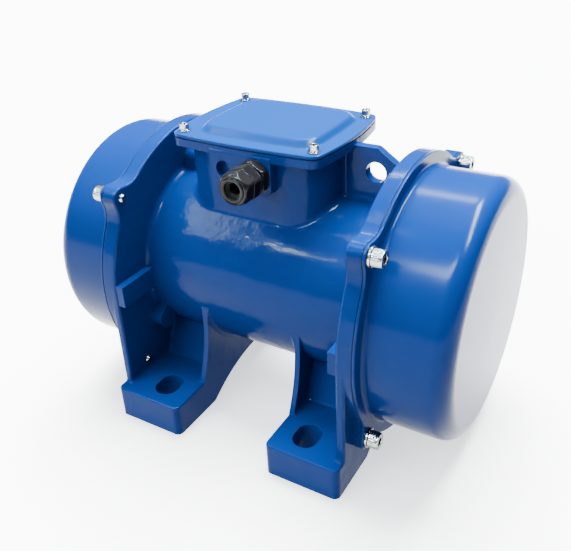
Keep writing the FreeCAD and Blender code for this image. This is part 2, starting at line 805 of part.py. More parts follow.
def terminal_lid():
    """Pressed lid: bowed plate with a raised middle, hollow below."""
    raised = plateau(lid_top, lid_top + plateau_height, 0.0)
    top = [edge for edge in raised.Edges if edge.BoundBox.ZMin > lid_top + plateau_height - 0.01]
    raised = raised.makeFillet(plateau_edge_round, top)
    lid = lid_plate().fuse(raised)
    lid = lid.cut(plateau(lid_bottom - 0.01, lid_top + plateau_height - lid_thickness, -lid_thickness))
    for x, y in lid_screw_places():
        lid = lid.cut(cylinder_z(lid_screw_radius + clearance_gap, lid_bottom - 1, lid_top + 1, x, y))
    return lid


def lid_gasket_frame():
    inset = lid_gasket_inset
    outline = bowed_outline(lid_half_x - inset, lid_half_y - inset, lid_bow_x, lid_bow_y,
                            lid_corner_round - inset, rim_top)
    frame = plate_z(outline, lid_gasket)
    frame = frame.cut(box_cavity())
    for x, y in lid_screw_places():
        frame = frame.cut(cylinder_z(lid_screw_radius + clearance_gap, rim_top - 1, lid_bottom + 1, x, y))
    return frame


def upright_copies(shape, places, z):
    """Stand a piece made along X upright at each place, its X = 0 landing at height z."""
    pieces = []
    for x, y in places:
        copy = shape.copy()
        copy.rotate(origin, along_y, -90)
        copy.translate(point(x, y, z))
        pieces.append(copy)
    return pieces


def terminal_block():
    base = block((terminal_x - terminal_half_x, terminal_x + terminal_half_x),
                 (-terminal_half_y, terminal_half_y), (box_floor, box_floor + terminal_height))
    top = box_floor + terminal_height
    for shift in (-0.5, 0.5):
        x = terminal_x + shift * terminal_pitch_x
        base = base.cut(block((x - barrier_width / 2, x + barrier_width / 2),
                              (-terminal_half_y, terminal_half_y), (top - barrier_depth, top + 1)))
    for x, y in stud_places():
        base = base.cut(cylinder_z(stud_radius, top - stud_depth, top + 1, x, y))
    return base


def stud_places():
    for step in (-1, 0, 1):
        for way in (-0.5, 0.5):
            yield terminal_x + step * terminal_pitch_x, way * terminal_pitch_y


def terminal_studs():
    top = box_floor + terminal_height
    return [cylinder_z(stud_radius, top - stud_depth, top + stud_height, x, y) for x, y in stud_places()]


def terminal_nuts():
    nuts = []
    for x, y in stud_places():
        low = box_floor + terminal_height
        nut = hexagon(nut_flats, point(x, y, low), along_z, nut_height)
        nuts.append(nut.cut(cylinder_z(stud_radius, low - 1, low + nut_height + 1, x, y)))
    return nuts


# ---- cable gland ----------------------------------------------------------------------------
def gland_body():
    seat = -gland_pad_face - gland_ring
    thread = cylinder_y(gland_thread_radius, seat, -gland_pad_face + gland_thread_length, gland_x, gland_z)
    collar = hexagon(gland_flats, point(gland_x, seat, gland_z), along_y, -gland_hex, gland_collar_angle)
    sleeve = cylinder_y(gland_thread_radius, seat - gland_hex - gland_waist - gland_nut_grip, seat,
                        gland_x, gland_z)
    body = joined([thread, collar, sleeve])
    length = gland_hex + gland_waist + gland_nut_grip + 1
    return body.cut(cylinder_y(gland_bore_radius, seat - length, 0, gland_x, gland_z))


def gland_nut_start():
    return -gland_pad_face - gland_ring - gland_hex - gland_waist


def gland_nut():
    """Hexagonal grip with a domed nose, bored to screw over the gland body."""
    start = gland_nut_start()
    grip = hexagon(gland_flats, point(gland_x, start, gland_z), along_y, -gland_nut_grip,
                   gland_nut_angle)
    corner = gland_flats / math.sqrt(3)
    grip = grip.common(turned_y([(0, 0), (0, corner - 0.9), (1, corner), (gland_nut_grip, corner),
                                 (gland_nut_grip, 0)], start))
    dome = domed_nose(start - gland_nut_grip)
    ribs = []
    for step in range(36):
        angle = math.radians(10 * step)
        x = gland_x + (gland_flats / 2 + 0.15) * math.cos(angle)
        z = gland_z + (gland_flats / 2 + 0.15) * math.sin(angle)
        ribs.append(cylinder_y(0.55, start - gland_nut_grip + 0.6, start - 1.5, x, z))
    nut = grip.fuse(dome).fuse(ribs).removeSplitter()
    nut = nut.cut(cylinder_y(gland_thread_radius + thread_gap, start - gland_nut_grip, start + 1,
                             gland_x, gland_z))
    mouth = start - gland_nut_grip - gland_nut_dome - 1
    return nut.cut(cylinder_y(gland_mouth_radius, mouth, start, gland_x, gland_z))


def turned_y(profile, start):
    """Revolve (depth, radius) corners about the gland's axis, depth running towards -Y."""
    corners = [point(gland_x + radius, start - depth, gland_z) for depth, radius in profile]
    return polygon(corners).revolve(point(gland_x, 0, gland_z), along_y, 360)


def domed_nose(start):
    radius = gland_flats / 2
    corners = [point(gland_x, start, gland_z), point(gland_x + radius, start, gland_z)]
    shoulder = point(gland_x + radius, start - 1.5, gland_z)
    nose = point(gland_x + gland_nose_radius - 1.2, start - gland_nut_dome, gland_z)
    middle = point(gland_x + radius - 0.7, start - gland_nut_dome * 0.62, gland_z)
    tip = point(gland_x, start - gland_nut_dome, gland_z)
    edges = [Part.LineSegment(corners[0], corners[1]).toShape(),
             Part.LineSegment(corners[1], shoulder).toShape(), arc(shoulder, middle, nose),
             Part.LineSegment(nose, tip).toShape(), Part.LineSegment(tip, corners[0]).toShape()]
    return Part.Face(Part.Wire(edges)).revolve(point(gland_x, 0, gland_z), along_y, 360)


def gland_seal():
    nose = gland_nut_start() - gland_nut_grip - gland_nut_dome + 2.0
    sleeve_end = gland_nut_start() - gland_nut_grip
    seal = cylinder_y(gland_mouth_radius, nose, sleeve_end + 0.01, gland_x, gland_z)
    inner = cylinder_y(gland_bore_radius, sleeve_end, -gland_pad_face - gland_ring, gland_x, gland_z)
    seal = seal.fuse(inner)
    return seal.cut(cylinder_y(cable_radius, nose - 1, 0, gland_x, gland_z))


def gland_ring_seal():
    ring = cylinder_y(gland_ring_radius, -gland_pad_face - gland_ring, -gland_pad_face, gland_x, gland_z)
    return ring.cut(cylinder_y(gland_thread_radius, -gland_pad_face - 5, 0, gland_x, gland_z))


# ---- motor ----------------------------------------------------------------------------------
def radial_slot(inner, outer, width, length, angle):
    slot = block((-length, length), (inner, outer), (axis_height - width / 2, axis_height + width / 2))
    slot.rotate(point(0, 0, axis_height), along_x, angle)
    return slot


def slot_angles():
    return [360 / slot_count * step for step in range(slot_count)]


def stator_core():
    bore = rotor_radius + air_gap
    core = ring_x(stator_bore_radius, bore, -core_half_length, core_half_length)
    tools = []
    for angle in slot_angles():
        tools.append(radial_slot(bore + stator_lip, bore + stator_lip + stator_slot_depth,
                                 stator_slot_width, core_half_length + 1, angle))
        tools.append(radial_slot(bore - 1, bore + stator_lip + 1, stator_mouth, core_half_length + 1, angle))
    return core.cut(tools)


def windings():
    """Copper: a bar in each slot, joined by the end turns at both ends."""
    inner = rotor_radius + air_gap + stator_lip + winding_gap
    outer = inner + stator_slot_depth - 2 * winding_gap
    reach = core_half_length + winding_length
    bars = [radial_slot(inner, outer, stator_slot_width - 2 * winding_gap, core_half_length + 2, angle)
            for angle in slot_angles()]
    turns = turned([(core_half_length + 1.5, inner - 0.5), (reach - 3, inner - 0.5), (reach, inner + 2.5),
                    (reach, outer + 1), (reach - 4, outer + 5), (core_half_length + 5, outer + 5),
                    (core_half_length + 1.5, outer + 1)])
    return turns.fuse(bars + [mirrored_x(turns)])


def rotor_core():
    core = ring_x(rotor_radius, shaft_body_radius, -core_half_length, core_half_length)
    return core.cut(rotor_bars(core_half_length + 1))


def rotor_bars(half_length):
    bars = []
    for step in range(rotor_bar_count):
        y, z = polar(rotor_radius - rotor_bar_radius - 1.5, 360 / rotor_bar_count * step)
        bars.append(cylinder_x(rotor_bar_radius, -half_length, half_length, y, z))
    return bars


def rotor_cage():
    """Cast aluminium cage: bars through the core and an end ring at each side."""
    inner = rotor_radius - 2 * rotor_bar_radius - 4
    ring = ring_x(rotor_radius - 0.8, inner, core_half_length, core_half_length + end_ring_length)
    return ring.fuse(rotor_bars(core_half_length + 1) + [mirrored_x(ring)])


def shaft():
    groove = weight_seat_radius - circlip_groove
    chamfer = circlip
    half = [(0, 0), (0, shaft_body_radius), (bearing_start, shaft_body_radius),
            (bearing_start, journal_radius), (bearing_end + 4, journal_radius),
            (bearing_end + 4, weight_seat_radius), (circlip_start(), weight_seat_radius),
            (circlip_start(), groove), (circlip_start() + circlip, groove),
            (circlip_start() + circlip, weight_seat_radius), (shaft_end - chamfer, weight_seat_radius),
            (shaft_end, weight_seat_radius - chamfer), (shaft_end, 0)]
    whole = turned(half)
    bar = whole.fuse(mirrored_x(whole)).removeSplitter()
    for side in sides:
        bar = bar.cut(key_block(side))
    return bar


def key_block(side):
    """Key that stops the fixed weight turning on the shaft, on the heavy side."""
    start, end = fixed_weight_start + key_end_gap, fixed_weight_start + fixed_weight_width - key_end_gap
    low = axis_height - weight_seat_radius - key_rise
    span = (start, end) if side > 0 else (-end, -start)
    return block(span, (-key_width / 2, key_width / 2), (low, low + 2 * key_rise + 1))


def circlip_start():
    return loose_weight_end + running_gap


def shaft_circlips():
    start, end = circlip_start(), circlip_start() + circlip
    ring = ring_x(circlip_radius, weight_seat_radius - circlip_groove, start, end)
    gap = block((start - 1, end + 1), (-circlip_gap / 2, circlip_gap / 2),
                (axis_height, axis_height + circlip_radius + 1))
    return both_ends(ring.cut(gap))


def bearing_inner_rings():
    return both_ends(ring_x(inner_race_radius, journal_radius, bearing_start, bearing_end))


def bearing_outer_rings():
    lip = outer_race_radius - race_lip
    start, end = bearing_start, bearing_end
    land = (bearing_width - roller_length) / 2 - roller_gap
    profile = [(start, bearing_radius), (start, lip), (start + land, lip),
               (start + land, outer_race_radius), (end - land, outer_race_radius), (end - land, lip),
               (end, lip), (end, bearing_radius)]
    return both_ends(turned(profile))


def roller_places():
    for step in range(roller_count):
        yield polar(roller_circle, 90 + 360 / roller_count * step)


def roller_cage():
    """Cage ring with a pocket for each roller, and the rollers in it."""
    middle = (bearing_start + bearing_end) / 2
    cage = ring_x(roller_circle + cage_half_thickness, roller_circle - cage_half_thickness,
                  middle - cage_width / 2, middle + cage_width / 2)
    low, high = middle - roller_length / 2, middle + roller_length / 2
    rollers = [cylinder_x(roller_radius, low, high, y, z) for y, z in roller_places()]
    pockets = [cylinder_x(roller_radius + cage_gap, low - cage_gap, high + cage_gap, y, z)
               for y, z in roller_places()]
    return [cage.cut(pockets)] + rollers


def bearing_housing():
    """Flanged bracket with the bearing seat, spigoted into the casing."""
    web = housing_face - housing_web
    lip = bearing_radius - housing_lip
    profile = [(housing_nose, spigot_radius), (flange_outer, spigot_radius), (flange_outer, housing_radius),
               (housing_face, housing_radius), (housing_face, bearing_radius),
               (bearing_start, bearing_radius), (bearing_start, lip), (housing_nose, lip),
               (housing_nose, bearing_radius + housing_hub_tip), (web, bearing_radius + housing_hub_foot),
               (web, spigot_radius - spigot_wall), (housing_nose, spigot_radius - spigot_wall)]
    housing = turned(profile)
    for angle in boss_angles:
        y, z = polar(housing_screw_circle, angle)
        housing = housing.cut(cylinder_x(cover_screw_radius + clearance_gap, flange_outer - 1,
                                         housing_face + 1, y, z))
    for y, z in cap_screw_places():
        housing = housing.cut(cylinder_x(cap_screw_radius + thread_gap, cap_screw_tip - 1,
                                         housing_face + 1, y, z))
    return housing


def cap_screw_places():
    for step in range(cap_screw_count):
        yield polar(cap_screw_circle, 45 + 360 / cap_screw_count * step)


def bearing_cap():
    cap = ring_x(cap_radius, journal_radius + 1, housing_face, housing_face + cap_thickness)
    nose = ring_x(bearing_radius, bearing_radius - 5, bearing_end, housing_face + 0.5)
    cap = cap.fuse(nose).removeSplitter()
    for y, z in cap_screw_places():
        cap = cap.cut(cylinder_x(cap_screw_radius + clearance_gap, housing_face - 1,
                                 housing_face + cap_thickness + 1, y, z))
    return cap


def shaft_seals():
    """V-rings that turn with the shaft against the bearing caps."""
    start = housing_face + cap_thickness + running_gap
    profile = [(start, seal_radius - 1), (start + 1.2, seal_radius), (start + seal_width, seal_radius - 3),
               (start + seal_width, weight_seat_radius), (start + 1.5, weight_seat_radius),
               (start + 1.5, weight_seat_radius + 2)]
    return both_ends(turned(profile))


# ---- eccentric weights ----------------------------------------------------------------------
def sector(radius, spread, start, end):
    """Plate shaped like a slice of a disc, hanging below the shaft."""
    half = math.radians(spread)
    corners = [point(start, -radius * math.sin(half), axis_height - radius * math.cos(half)),
               point(start, 0, axis_height - radius),
               point(start, radius * math.sin(half), axis_height - radius * math.cos(half))]
    centre = point(start, 0, axis_height)
    edges = [arc(*corners), Part.LineSegment(corners[2], centre).toShape(),
             Part.LineSegment(centre, corners[0]).toShape()]
    plate = Part.Face(Part.Wire(edges)).extrude(point(end - start, 0, 0))
    return plate


def fixed_weight_solid():
    end = fixed_weight_start + fixed_weight_width
    solid = sector(weight_radius, fixed_weight_angle, fixed_weight_start, end)
    solid = joined([solid, cylinder_x(weight_hub_radius, fixed_weight_start, end)])
    solid = solid.cut(cylinder_x(weight_seat_radius, fixed_weight_start - 1, end + 1))
    low = axis_height - weight_seat_radius - key_rise
    return solid.cut(block((fixed_weight_start - 1, end + 1), (-key_width / 2, key_width / 2),
                           (low, axis_height)))


def loose_weight_solid():
    """Adjustable weight: a slice with a split hub that a screw clamps to the shaft."""
    start, end = loose_weight_start, loose_weight_end
    solid = sector(weight_radius, loose_weight_angle, start, end)
    ears = block((start, end), (-clamp_ear_half_width, clamp_ear_half_width),
                 (axis_height, axis_height + clamp_ear_top))
    corners = [edge for edge in ears.Edges
               if abs(edge.tangentAt(0).x) > 0.99 and edge.CenterOfMass.z > axis_height + clamp_ear_top - 1]
    ears = ears.makeFillet(clamp_ear_round, corners)
    solid = joined([solid, cylinder_x(weight_hub_radius, start, end), ears])
    solid = solid.cut(cylinder_x(weight_seat_radius + weight_bore_gap, start - 1, end + 1))
    solid = solid.cut(block((start - 1, end + 1), (-clamp_slit / 2, clamp_slit / 2),
                            (axis_height, axis_height + clamp_ear_top + 1)))
    middle, height = (start + end) / 2, axis_height + clamp_screw_height
    return solid.cut(cylinder_y(clamp_screw_radius + thread_gap, -clamp_ear_half_width - 1,
                                clamp_ear_half_width + 1, middle, height))


def clamp_screw():
    screw = cap_screw(clamp_screw_radius, cover_screw_head_radius, cover_screw_head, cover_screw_socket,
                      -clamp_ear_half_width, clamp_ear_half_width)
    screw.rotate(origin, along_z, -90)
    screw.translate(point((loose_weight_start + loose_weight_end) / 2, 0, axis_height + clamp_screw_height))
    return screw


# ---- write every node -----------------------------------------------------------------------
def main():
    os.makedirs("parts", exist_ok=True)
    write("casing", [casing()])
    write("cover_gasket_left", [mirrored_x(cover_gasket_ring())])
    write("cover_gasket_right", [cover_gasket_ring()])
    cup = cover()
    write("cover_left", [mirrored_x(cup)])
    write("cover_right", [cup])
    screw = cap_screw(cover_screw_radius, cover_screw_head_radius, cover_screw_head, cover_screw_socket,
                      cover_screw_tip, screw_seat + spring_washer)
    write("cover_screws", cover_screws(screw, cover_screw_turn_angle))
    washer = split_washer(spring_washer_radius, cover_screw_radius + washer_gap, spring_washer, screw_seat)
    write("cover_spring_washers", cover_screws(washer, cover_washer_turn_angle))

    write("terminal_lid", [terminal_lid()])
    write("lid_gasket", [lid_gasket_frame()])
    flat = Part.makeCylinder(lid_washer_radius, lid_washer, origin, along_x).cut(
        Part.makeCylinder(lid_screw_radius + washer_gap, lid_washer + 2, point(-1, 0, 0), along_x))
    write("lid_flat_washers", upright_copies(flat, lid_screw_places(), lid_top))
    spring = split_washer(lid_spring_radius, lid_screw_radius + washer_gap, lid_spring, 0)
    write("lid_spring_washers", upright_copies(spring, lid_screw_places(), lid_top + lid_washer))
    seat = lid_top + lid_washer + lid_spring
    lid_screw = cap_screw(lid_screw_radius, lid_screw_head_radius, lid_screw_head, lid_screw_socket,
                          rim_top - lid_screw_reach - seat, 0)
    write("lid_screws", upright_copies(lid_screw, lid_screw_places(), seat))
    write("terminal_block", [terminal_block()])
    write("terminal_studs", terminal_studs())
    write("terminal_nuts", terminal_nuts())

    write("gland_ring", [gland_ring_seal()])
    write("gland_body", [gland_body()])
    write("gland_seal", [gland_seal()])
    write("gland_nut", [gland_nut()])

    write("stator_core", [stator_core()])
    write("stator_windings", [windings()])
    write("bearing_housing_left", [mirrored_x(bearing_housing())])
    write("bearing_housing_right", [bearing_housing()])
    screw = cap_screw(cover_screw_radius, cover_screw_head_radius, cover_screw_head, cover_screw_socket,
                      housing_screw_tip, housing_face)
    write("housing_screws", [side for angle in boss_angles
                             for side in both_ends(placed(screw, *polar(housing_screw_circle, angle)))])
    write("bearing_caps", both_ends(bearing_cap()))
    screw = cap_screw(cap_screw_radius, cap_screw_head_radius, cap_screw_head, cap_screw_socket,
                      cap_screw_tip, housing_face + cap_thickness)
    write("bearing_cap_screws", [side for y, z in cap_screw_places()
                                 for side in both_ends(placed(screw, y, z))])
    write("bearing_outer_rings", bearing_outer_rings())

    write("shaft", [shaft()])
    write("rotor_core", [rotor_core()])
    write("rotor_cage", [rotor_cage()])
    write("bearing_inner_rings", bearing_inner_rings())
    write("shaft_seals", shaft_seals())
    write("weight_keys", [key_block(side) for side in sides])
    write("fixed_weight_left", [mirrored_x(fixed_weight_solid())])
    write("fixed_weight_right", [fixed_weight_solid()])
    write("weight_spacers", both_ends(ring_x(spacer_radius, weight_seat_radius, spacer_start,
                                             spacer_start + spacer)))
    write("shaft_circlips", shaft_circlips())

    write("roller_cage_left", [mirrored_x(piece) for piece in roller_cage()])
    write("roller_cage_right", roller_cage())
    write("adjustable_weight_left", [mirrored_x(loose_weight_solid())])
    write("adjustable_weight_right", [loose_weight_solid()])
    write("clamp_screw_left", [mirrored_x(clamp_screw())])
    write("clamp_screw_right", [clamp_screw()])


main()
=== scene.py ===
"""Looks of a twin-ended vibration motor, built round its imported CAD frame.

The casting, the gaskets and everything inside the motor keep their CAD meshes and get procedural
finishes.  The drawn covers, the terminal lid, the screws with their washers and the cable gland
are new surfaces worked out with numpy, in metres and in the frame's own axes: X along the shaft,
-Y towards the gland, Z up.
"""
import json
import logging
import math
from dataclasses import dataclass, field
from enum import Enum
from typing import Sequence

import bpy
import numpy as np
from mathutils import Matrix, Vector


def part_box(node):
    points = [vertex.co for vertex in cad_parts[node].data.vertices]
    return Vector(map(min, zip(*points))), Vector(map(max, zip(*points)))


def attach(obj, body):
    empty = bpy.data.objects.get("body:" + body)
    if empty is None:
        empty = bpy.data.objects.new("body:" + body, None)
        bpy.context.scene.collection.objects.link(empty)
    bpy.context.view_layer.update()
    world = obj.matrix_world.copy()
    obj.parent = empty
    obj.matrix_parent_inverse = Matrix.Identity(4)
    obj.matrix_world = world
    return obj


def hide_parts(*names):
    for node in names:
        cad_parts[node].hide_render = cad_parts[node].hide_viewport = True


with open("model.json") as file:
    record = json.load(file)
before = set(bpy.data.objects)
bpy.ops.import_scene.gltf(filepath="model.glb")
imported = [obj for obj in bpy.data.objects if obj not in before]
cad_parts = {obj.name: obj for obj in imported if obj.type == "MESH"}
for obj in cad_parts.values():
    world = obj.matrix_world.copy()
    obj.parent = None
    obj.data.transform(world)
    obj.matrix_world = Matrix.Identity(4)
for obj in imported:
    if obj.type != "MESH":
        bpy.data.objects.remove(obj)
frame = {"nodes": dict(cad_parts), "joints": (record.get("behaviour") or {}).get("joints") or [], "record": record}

MM = 0.001
TURN = 2 * math.pi
log = logging.getLogger("vibration_motor")


class Side(Enum):
    """End of the shaft, valued by the sign of its X."""

    LEFT = -1
    RIGHT = 1


class Along(Enum):
    """Direction that a turned piece's own axis is laid along; the value holds the columns' signs."""

    PLUS_X = ((1, 0, 0), (0, 1, 0), (0, 0, 1))
    MINUS_X = ((-1, 0, 0), (0, -1, 0), (0, 0, 1))
    MINUS_Y = ((0, -1, 0), (1, 0, 0), (0, 0, 1))
    PLUS_Z = ((0, 0, 1), (0, 1, 0), (-1, 0, 0))


# ---- meshes ----
@dataclass
class Patch:
    """A closed surface as arrays: points, face corners in a row, and each face's corner count."""

    points: np.ndarray
    corners: np.ndarray
    sizes: np.ndarray

    def volume(self) -> float:
        """Signed volume, by summing the tetrahedra between the origin and each fan of corners."""
        first = np.cumsum(self.sizes) - self.sizes
        total = 0.0
        for size in (3, 4):
            start = first[self.sizes == size]
            root = self.points[self.corners[start]]
            for step in range(1, size - 1):
                a = self.points[self.corners[start + step]]
                b = self.points[self.corners[start + step + 1]]
                total += float(np.einsum("ij,ij->", root, np.cross(a, b))) / 6
        return total

    def outward(self) -> "Patch":
        """The same surface, read backwards if that is what turns its faces outwards."""
        return self if self.volume() >= 0 else Patch(self.points, self.corners[::-1], self.sizes[::-1])

    def placed(self, along: Along, at: Sequence[float]) -> "Patch":
        """The patch with its own X axis laid along a frame direction and its origin moved to a point."""
        turn = np.array(along.value, float)
        return Patch(self.points @ turn + np.asarray(at, float), self.corners, self.sizes)

    def turned(self, angle: float) -> "Patch":
        """The patch turned about its own X axis by an angle in radians."""
        c, s = math.cos(angle), math.sin(angle)
        turn = np.array([[1, 0, 0], [0, c, s], [0, -s, c]])
        return Patch(self.points @ turn, self.corners, self.sizes)


def skin(grid: np.ndarray, ring: bool = False) -> Patch:
    """Cover a grid of points with quads, each row being closed.

    Args:
        grid: Points as (rows, columns, 3).
        ring: Whether the last row joins the first; if not, a fan to its mean point closes each end.

    Returns:
        The patch, facing outwards.
    """
    rows, columns = grid.shape[:2]
    flat = grid.reshape(-1, 3)
    index = np.arange(rows * columns).reshape(rows, columns)
    index = np.column_stack([index, index[:, :1]])
    if ring:
        index = np.vstack([index, index[:1]])
    quads = np.stack([index[:-1, :-1], index[1:, :-1], index[1:, 1:], index[:-1, 1:]], -1).reshape(-1, 4)
    points, corners, sizes = [flat], [quads.ravel()], [np.full(len(quads), 4)]
    for order, (line, step) in enumerate(() if ring else ((index[0], 1), (index[-1], -1))):
        points.append(flat[line[:-1]].mean(0)[None])
        fan = np.stack([np.full(columns, rows * columns + order), line[:-1], line[1:]], -1)
        corners.append(fan[:, ::step].ravel())
        sizes.append(np.full(columns, 3))
    return Patch(np.vstack(points), np.concatenate(corners), np.concatenate(sizes)).outward()


def joined(patches: Sequence[Patch]) -> Patch:
    """All patches as one, with the face corners renumbered."""
    starts = np.cumsum([0] + [len(patch.points) for patch in patches[:-1]])
    return Patch(np.vstack([patch.points for patch in patches]),
                 np.concatenate([patch.corners + start for patch, start in zip(patches, starts)]),
                 np.concatenate([patch.sizes for patch in patches]))


def revolve(along: np.ndarray, radius: np.ndarray, columns: int) -> np.ndarray:
    """Grid of a turned shape: a row's points are (along, radius * cos(angle), radius * sin(angle))."""
    angle = angles(columns)
    return np.stack(np.broadcast_arrays(along[:, None], radius * np.cos(angle), radius * np.sin(angle)), -1)


def turning(rows: Sequence[tuple[float, float | np.ndarray]], columns: int) -> np.ndarray:
    """Grid of a turned shape from rows (along, radius), a radius being a number or one a column."""
    return revolve(np.array([x for x, _ in rows]), np.stack([np.broadcast_to(r, columns) for _, r in rows]),
                   columns)


def angles(columns: int) -> np.ndarray:
    """Evenly spaced angles round one turn, in radians."""
    return np.linspace(0, TURN, columns, endpoint=False)


def squared_circle(power: float, steps: int) -> tuple[np.ndarray, np.ndarray]:
    """Section with broken corners between -1 and 1: cosine and sine, each raised to a low power."""
    return tuple(np.sign(v) * np.abs(v) ** power for v in (np.cos(angles(steps)), np.sin(angles(steps))))


def hexagon(flats: float, angle: np.ndarray, turn: float = 0.0) -> np.ndarray:
    """Polar radius of a hexagon: half the width across flats over the cosine from the nearest flat."""
    sixth = TURN / 6
    return flats / 2 / np.cos((angle - turn) % sixth - sixth / 2)


def quarter(centre: tuple[float, float], radius: float, start: float, end: float, steps: int) -> np.ndarray:
    """Points (along, radius) on an arc between two angles in degrees, 0 being along the axis."""
    angle = np.radians(np.linspace(start, end, steps))
    return np.stack([centre[0] + radius * np.cos(angle), centre[1] + radius * np.sin(angle)], -1)


def add_object(name: str, data: bpy.types.ID) -> bpy.types.Object:
    """A new object in the scene that shows a mesh, a light or a camera."""
    made = bpy.data.objects.new(name, data)
    bpy.context.scene.collection.objects.link(made)
    return made


def make_piece(name: str, patch: Patch, finish: "Finish", node: str,
               crease: float = 32.0) -> None:
    """Turn a patch into a finished piece that rides on the casing.

    Args:
        name: Name of the new object.
        patch: Its surface, in the frame.
        finish: Finish that dresses it.
        node: CAD node that it is shown in place of.
        crease: Angle in degrees above which an edge stays sharp.
    """
    mesh = bpy.data.meshes.new(name)
    mesh.vertices.add(len(patch.points))
    mesh.vertices.foreach_set("co", patch.points.astype(np.float32).ravel())
    mesh.loops.add(len(patch.corners))
    mesh.loops.foreach_set("vertex_index", patch.corners.astype(np.int32))
    mesh.polygons.add(len(patch.sizes))
    mesh.polygons.foreach_set("loop_start", (np.cumsum(patch.sizes) - patch.sizes).astype(np.int32))
    mesh.update(calc_edges=True)
    mesh.validate()
    mesh.shade_smooth()
    mesh.set_sharp_from_angle(angle=math.radians(crease))
    mesh.materials.append(finish.material())
    piece = add_object(name, mesh)
    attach(piece, "casing")
    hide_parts(node)
    log.info("%s: %d faces, for %s", name, len(patch.sizes), node)


# ---- shader building ----
class Signal:
    """An output socket that Python arithmetic turns into Math nodes."""

    def __init__(self, graph: "Graph", socket: bpy.types.NodeSocket) -> None:
        """Keep the socket and the graph that it belongs to."""
        self.graph = graph
        self.socket = socket

    def _math(self, operation: str, *others: "Signal | float", first: float | None = None) -> "Signal":
        """Add a Math node with this signal as an input, behind a plain number if one is given."""
        values = (self, *others) if first is None else (first, self)
        return self.graph.node("ShaderNodeMath", {"operation": operation}, dict(enumerate(values)))

    def __add__(self, other: "Signal | float") -> "Signal":
        """Sum."""
        return self._math("ADD", other)

    __radd__ = __add__

    def __mul__(self, other: "Signal | float") -> "Signal":
        """Product."""
        return self._math("MULTIPLY", other)

    __rmul__ = __mul__

    def __rsub__(self, other: float) -> "Signal":
        """Difference from a number."""
        return self._math("SUBTRACT", first=other)

    def limited(self) -> "Signal":
        """The signal held between 0 and 1."""
        return self._math("MINIMUM", 1.0)._math("MAXIMUM", 0.0)


class Graph:
    """The nodes of a material or of the room."""

    def __init__(self, name: str, room: "bpy.types.World | None" = None) -> None:
        """Start a material, or a room's surroundings, with no nodes but the coordinates."""
        self.material = room or bpy.data.materials.new(name)
        self.material.use_nodes = True
        self.material.node_tree.nodes.clear()
        self.tree = self.material.node_tree
        self.place = self.node("ShaderNodeTexCoord", output="Object")

    def node(self, kind: str, settings: dict | None = None, inputs: dict | None = None,
             output: str | int = 0) -> Signal:
        """Add any node.

        Args:
            kind: Blender's node type.
            settings: Node properties, set before the sockets; "stops" fills a colour ramp with
                (position, colour) pairs.
            inputs: Socket name or number to a value or a signal.
            output: Name or number of the socket that is handed back.

        Returns:
            That output as a signal.
        """
        made = self.tree.nodes.new(kind)
        for key, value in (settings or {}).items():
            if key == "stops":
                while len(made.color_ramp.elements) < len(value):
                    made.color_ramp.elements.new(0.5)
                for element, (position, colour) in zip(made.color_ramp.elements, value):
                    element.position, element.color = position, colour
            else:
                setattr(made, key, value)
        for key, value in (inputs or {}).items():
            if isinstance(value, Signal):
                self.tree.links.new(value.socket, made.inputs[key])
            else:
                made.inputs[key].default_value = value
        return Signal(self, made.outputs[output])

    def noise(self, scale: float, detail: float = 3.0) -> Signal:
        """Smooth noise between 0 and 1 with so many cells a metre."""
        return self.node("ShaderNodeTexNoise", {},
                         {"Vector": self.place, "Scale": scale, "Detail": detail}, "Fac")

    def mix(self, factor: "Signal | float", first: "Sequence[float] | Signal",
            second: "Sequence[float] | Signal") -> Signal:
        """Colour between two others."""
        paint = [value if isinstance(value, Signal) else (*value, 1.0) for value in (first, second)]
        return self.node("ShaderNodeMix", {"data_type": "RGBA"}, {0: factor, 6: paint[0], 7: paint[1]}, 2)

    def softened(self, radius: float) -> Signal:
        """Normal of the surface with its sharp edges rounded to a radius in metres."""
        return self.node("ShaderNodeBevel", {"samples": 6}, {"Radius": radius})

    def bump(self, height: Signal, depth: float, edge: float) -> Signal:
        """Normal of a surface with relief of a depth, its sharp edges softened to a radius."""
        return self.node("ShaderNodeBump", {}, {"Height": height, "Distance": depth, "Strength": 1.0,
                                                "Normal": self.softened(edge)})

    def edges(self, radius: float) -> Signal:
        """1 near an edge and 0 on a plain face: how far the softened normal leans from the true one."""
        true = self.node("ShaderNodeNewGeometry", output="Normal")
        lean = self.node("ShaderNodeVectorMath", {"operation": "DOT_PRODUCT"},
                         {0: self.softened(radius), 1: true}, "Value")
        return ((1 - lean) * 4.0).limited()

    def finish(self, **sockets: "Signal | float | Sequence[float]") -> bpy.types.Material:
        """Close the material with a Principled shader; its sockets are named with _ for a space."""
        inputs = {key.replace("_", " "): value if isinstance(value, (Signal, float)) or len(value) == 4
                  else (*value, 1.0) for key, value in sockets.items()}
        self.show(self.node("ShaderNodeBsdfPrincipled", {}, inputs))
        return self.material

    def show(self, shader: Signal, kind: str = "ShaderNodeOutputMaterial") -> None:
        """Send a shader to the surface of the material or the room."""
        target = self.tree.nodes.new(kind)
        self.tree.links.new(shader.socket, target.inputs["Surface"])


# ---- finishes ----
@dataclass(frozen=True)
class Finish:
    """A surface finish; each kind builds its material once."""

    name: str

    def material(self) -> bpy.types.Material:
        """The finish's material, built on first use."""
        return bpy.data.materials.get(self.name) or self.build(Graph(self.name))

    def build(self, graph: Graph) -> bpy.types.Material:
        """Fill an empty graph and hand back its material."""
        raise NotImplementedError


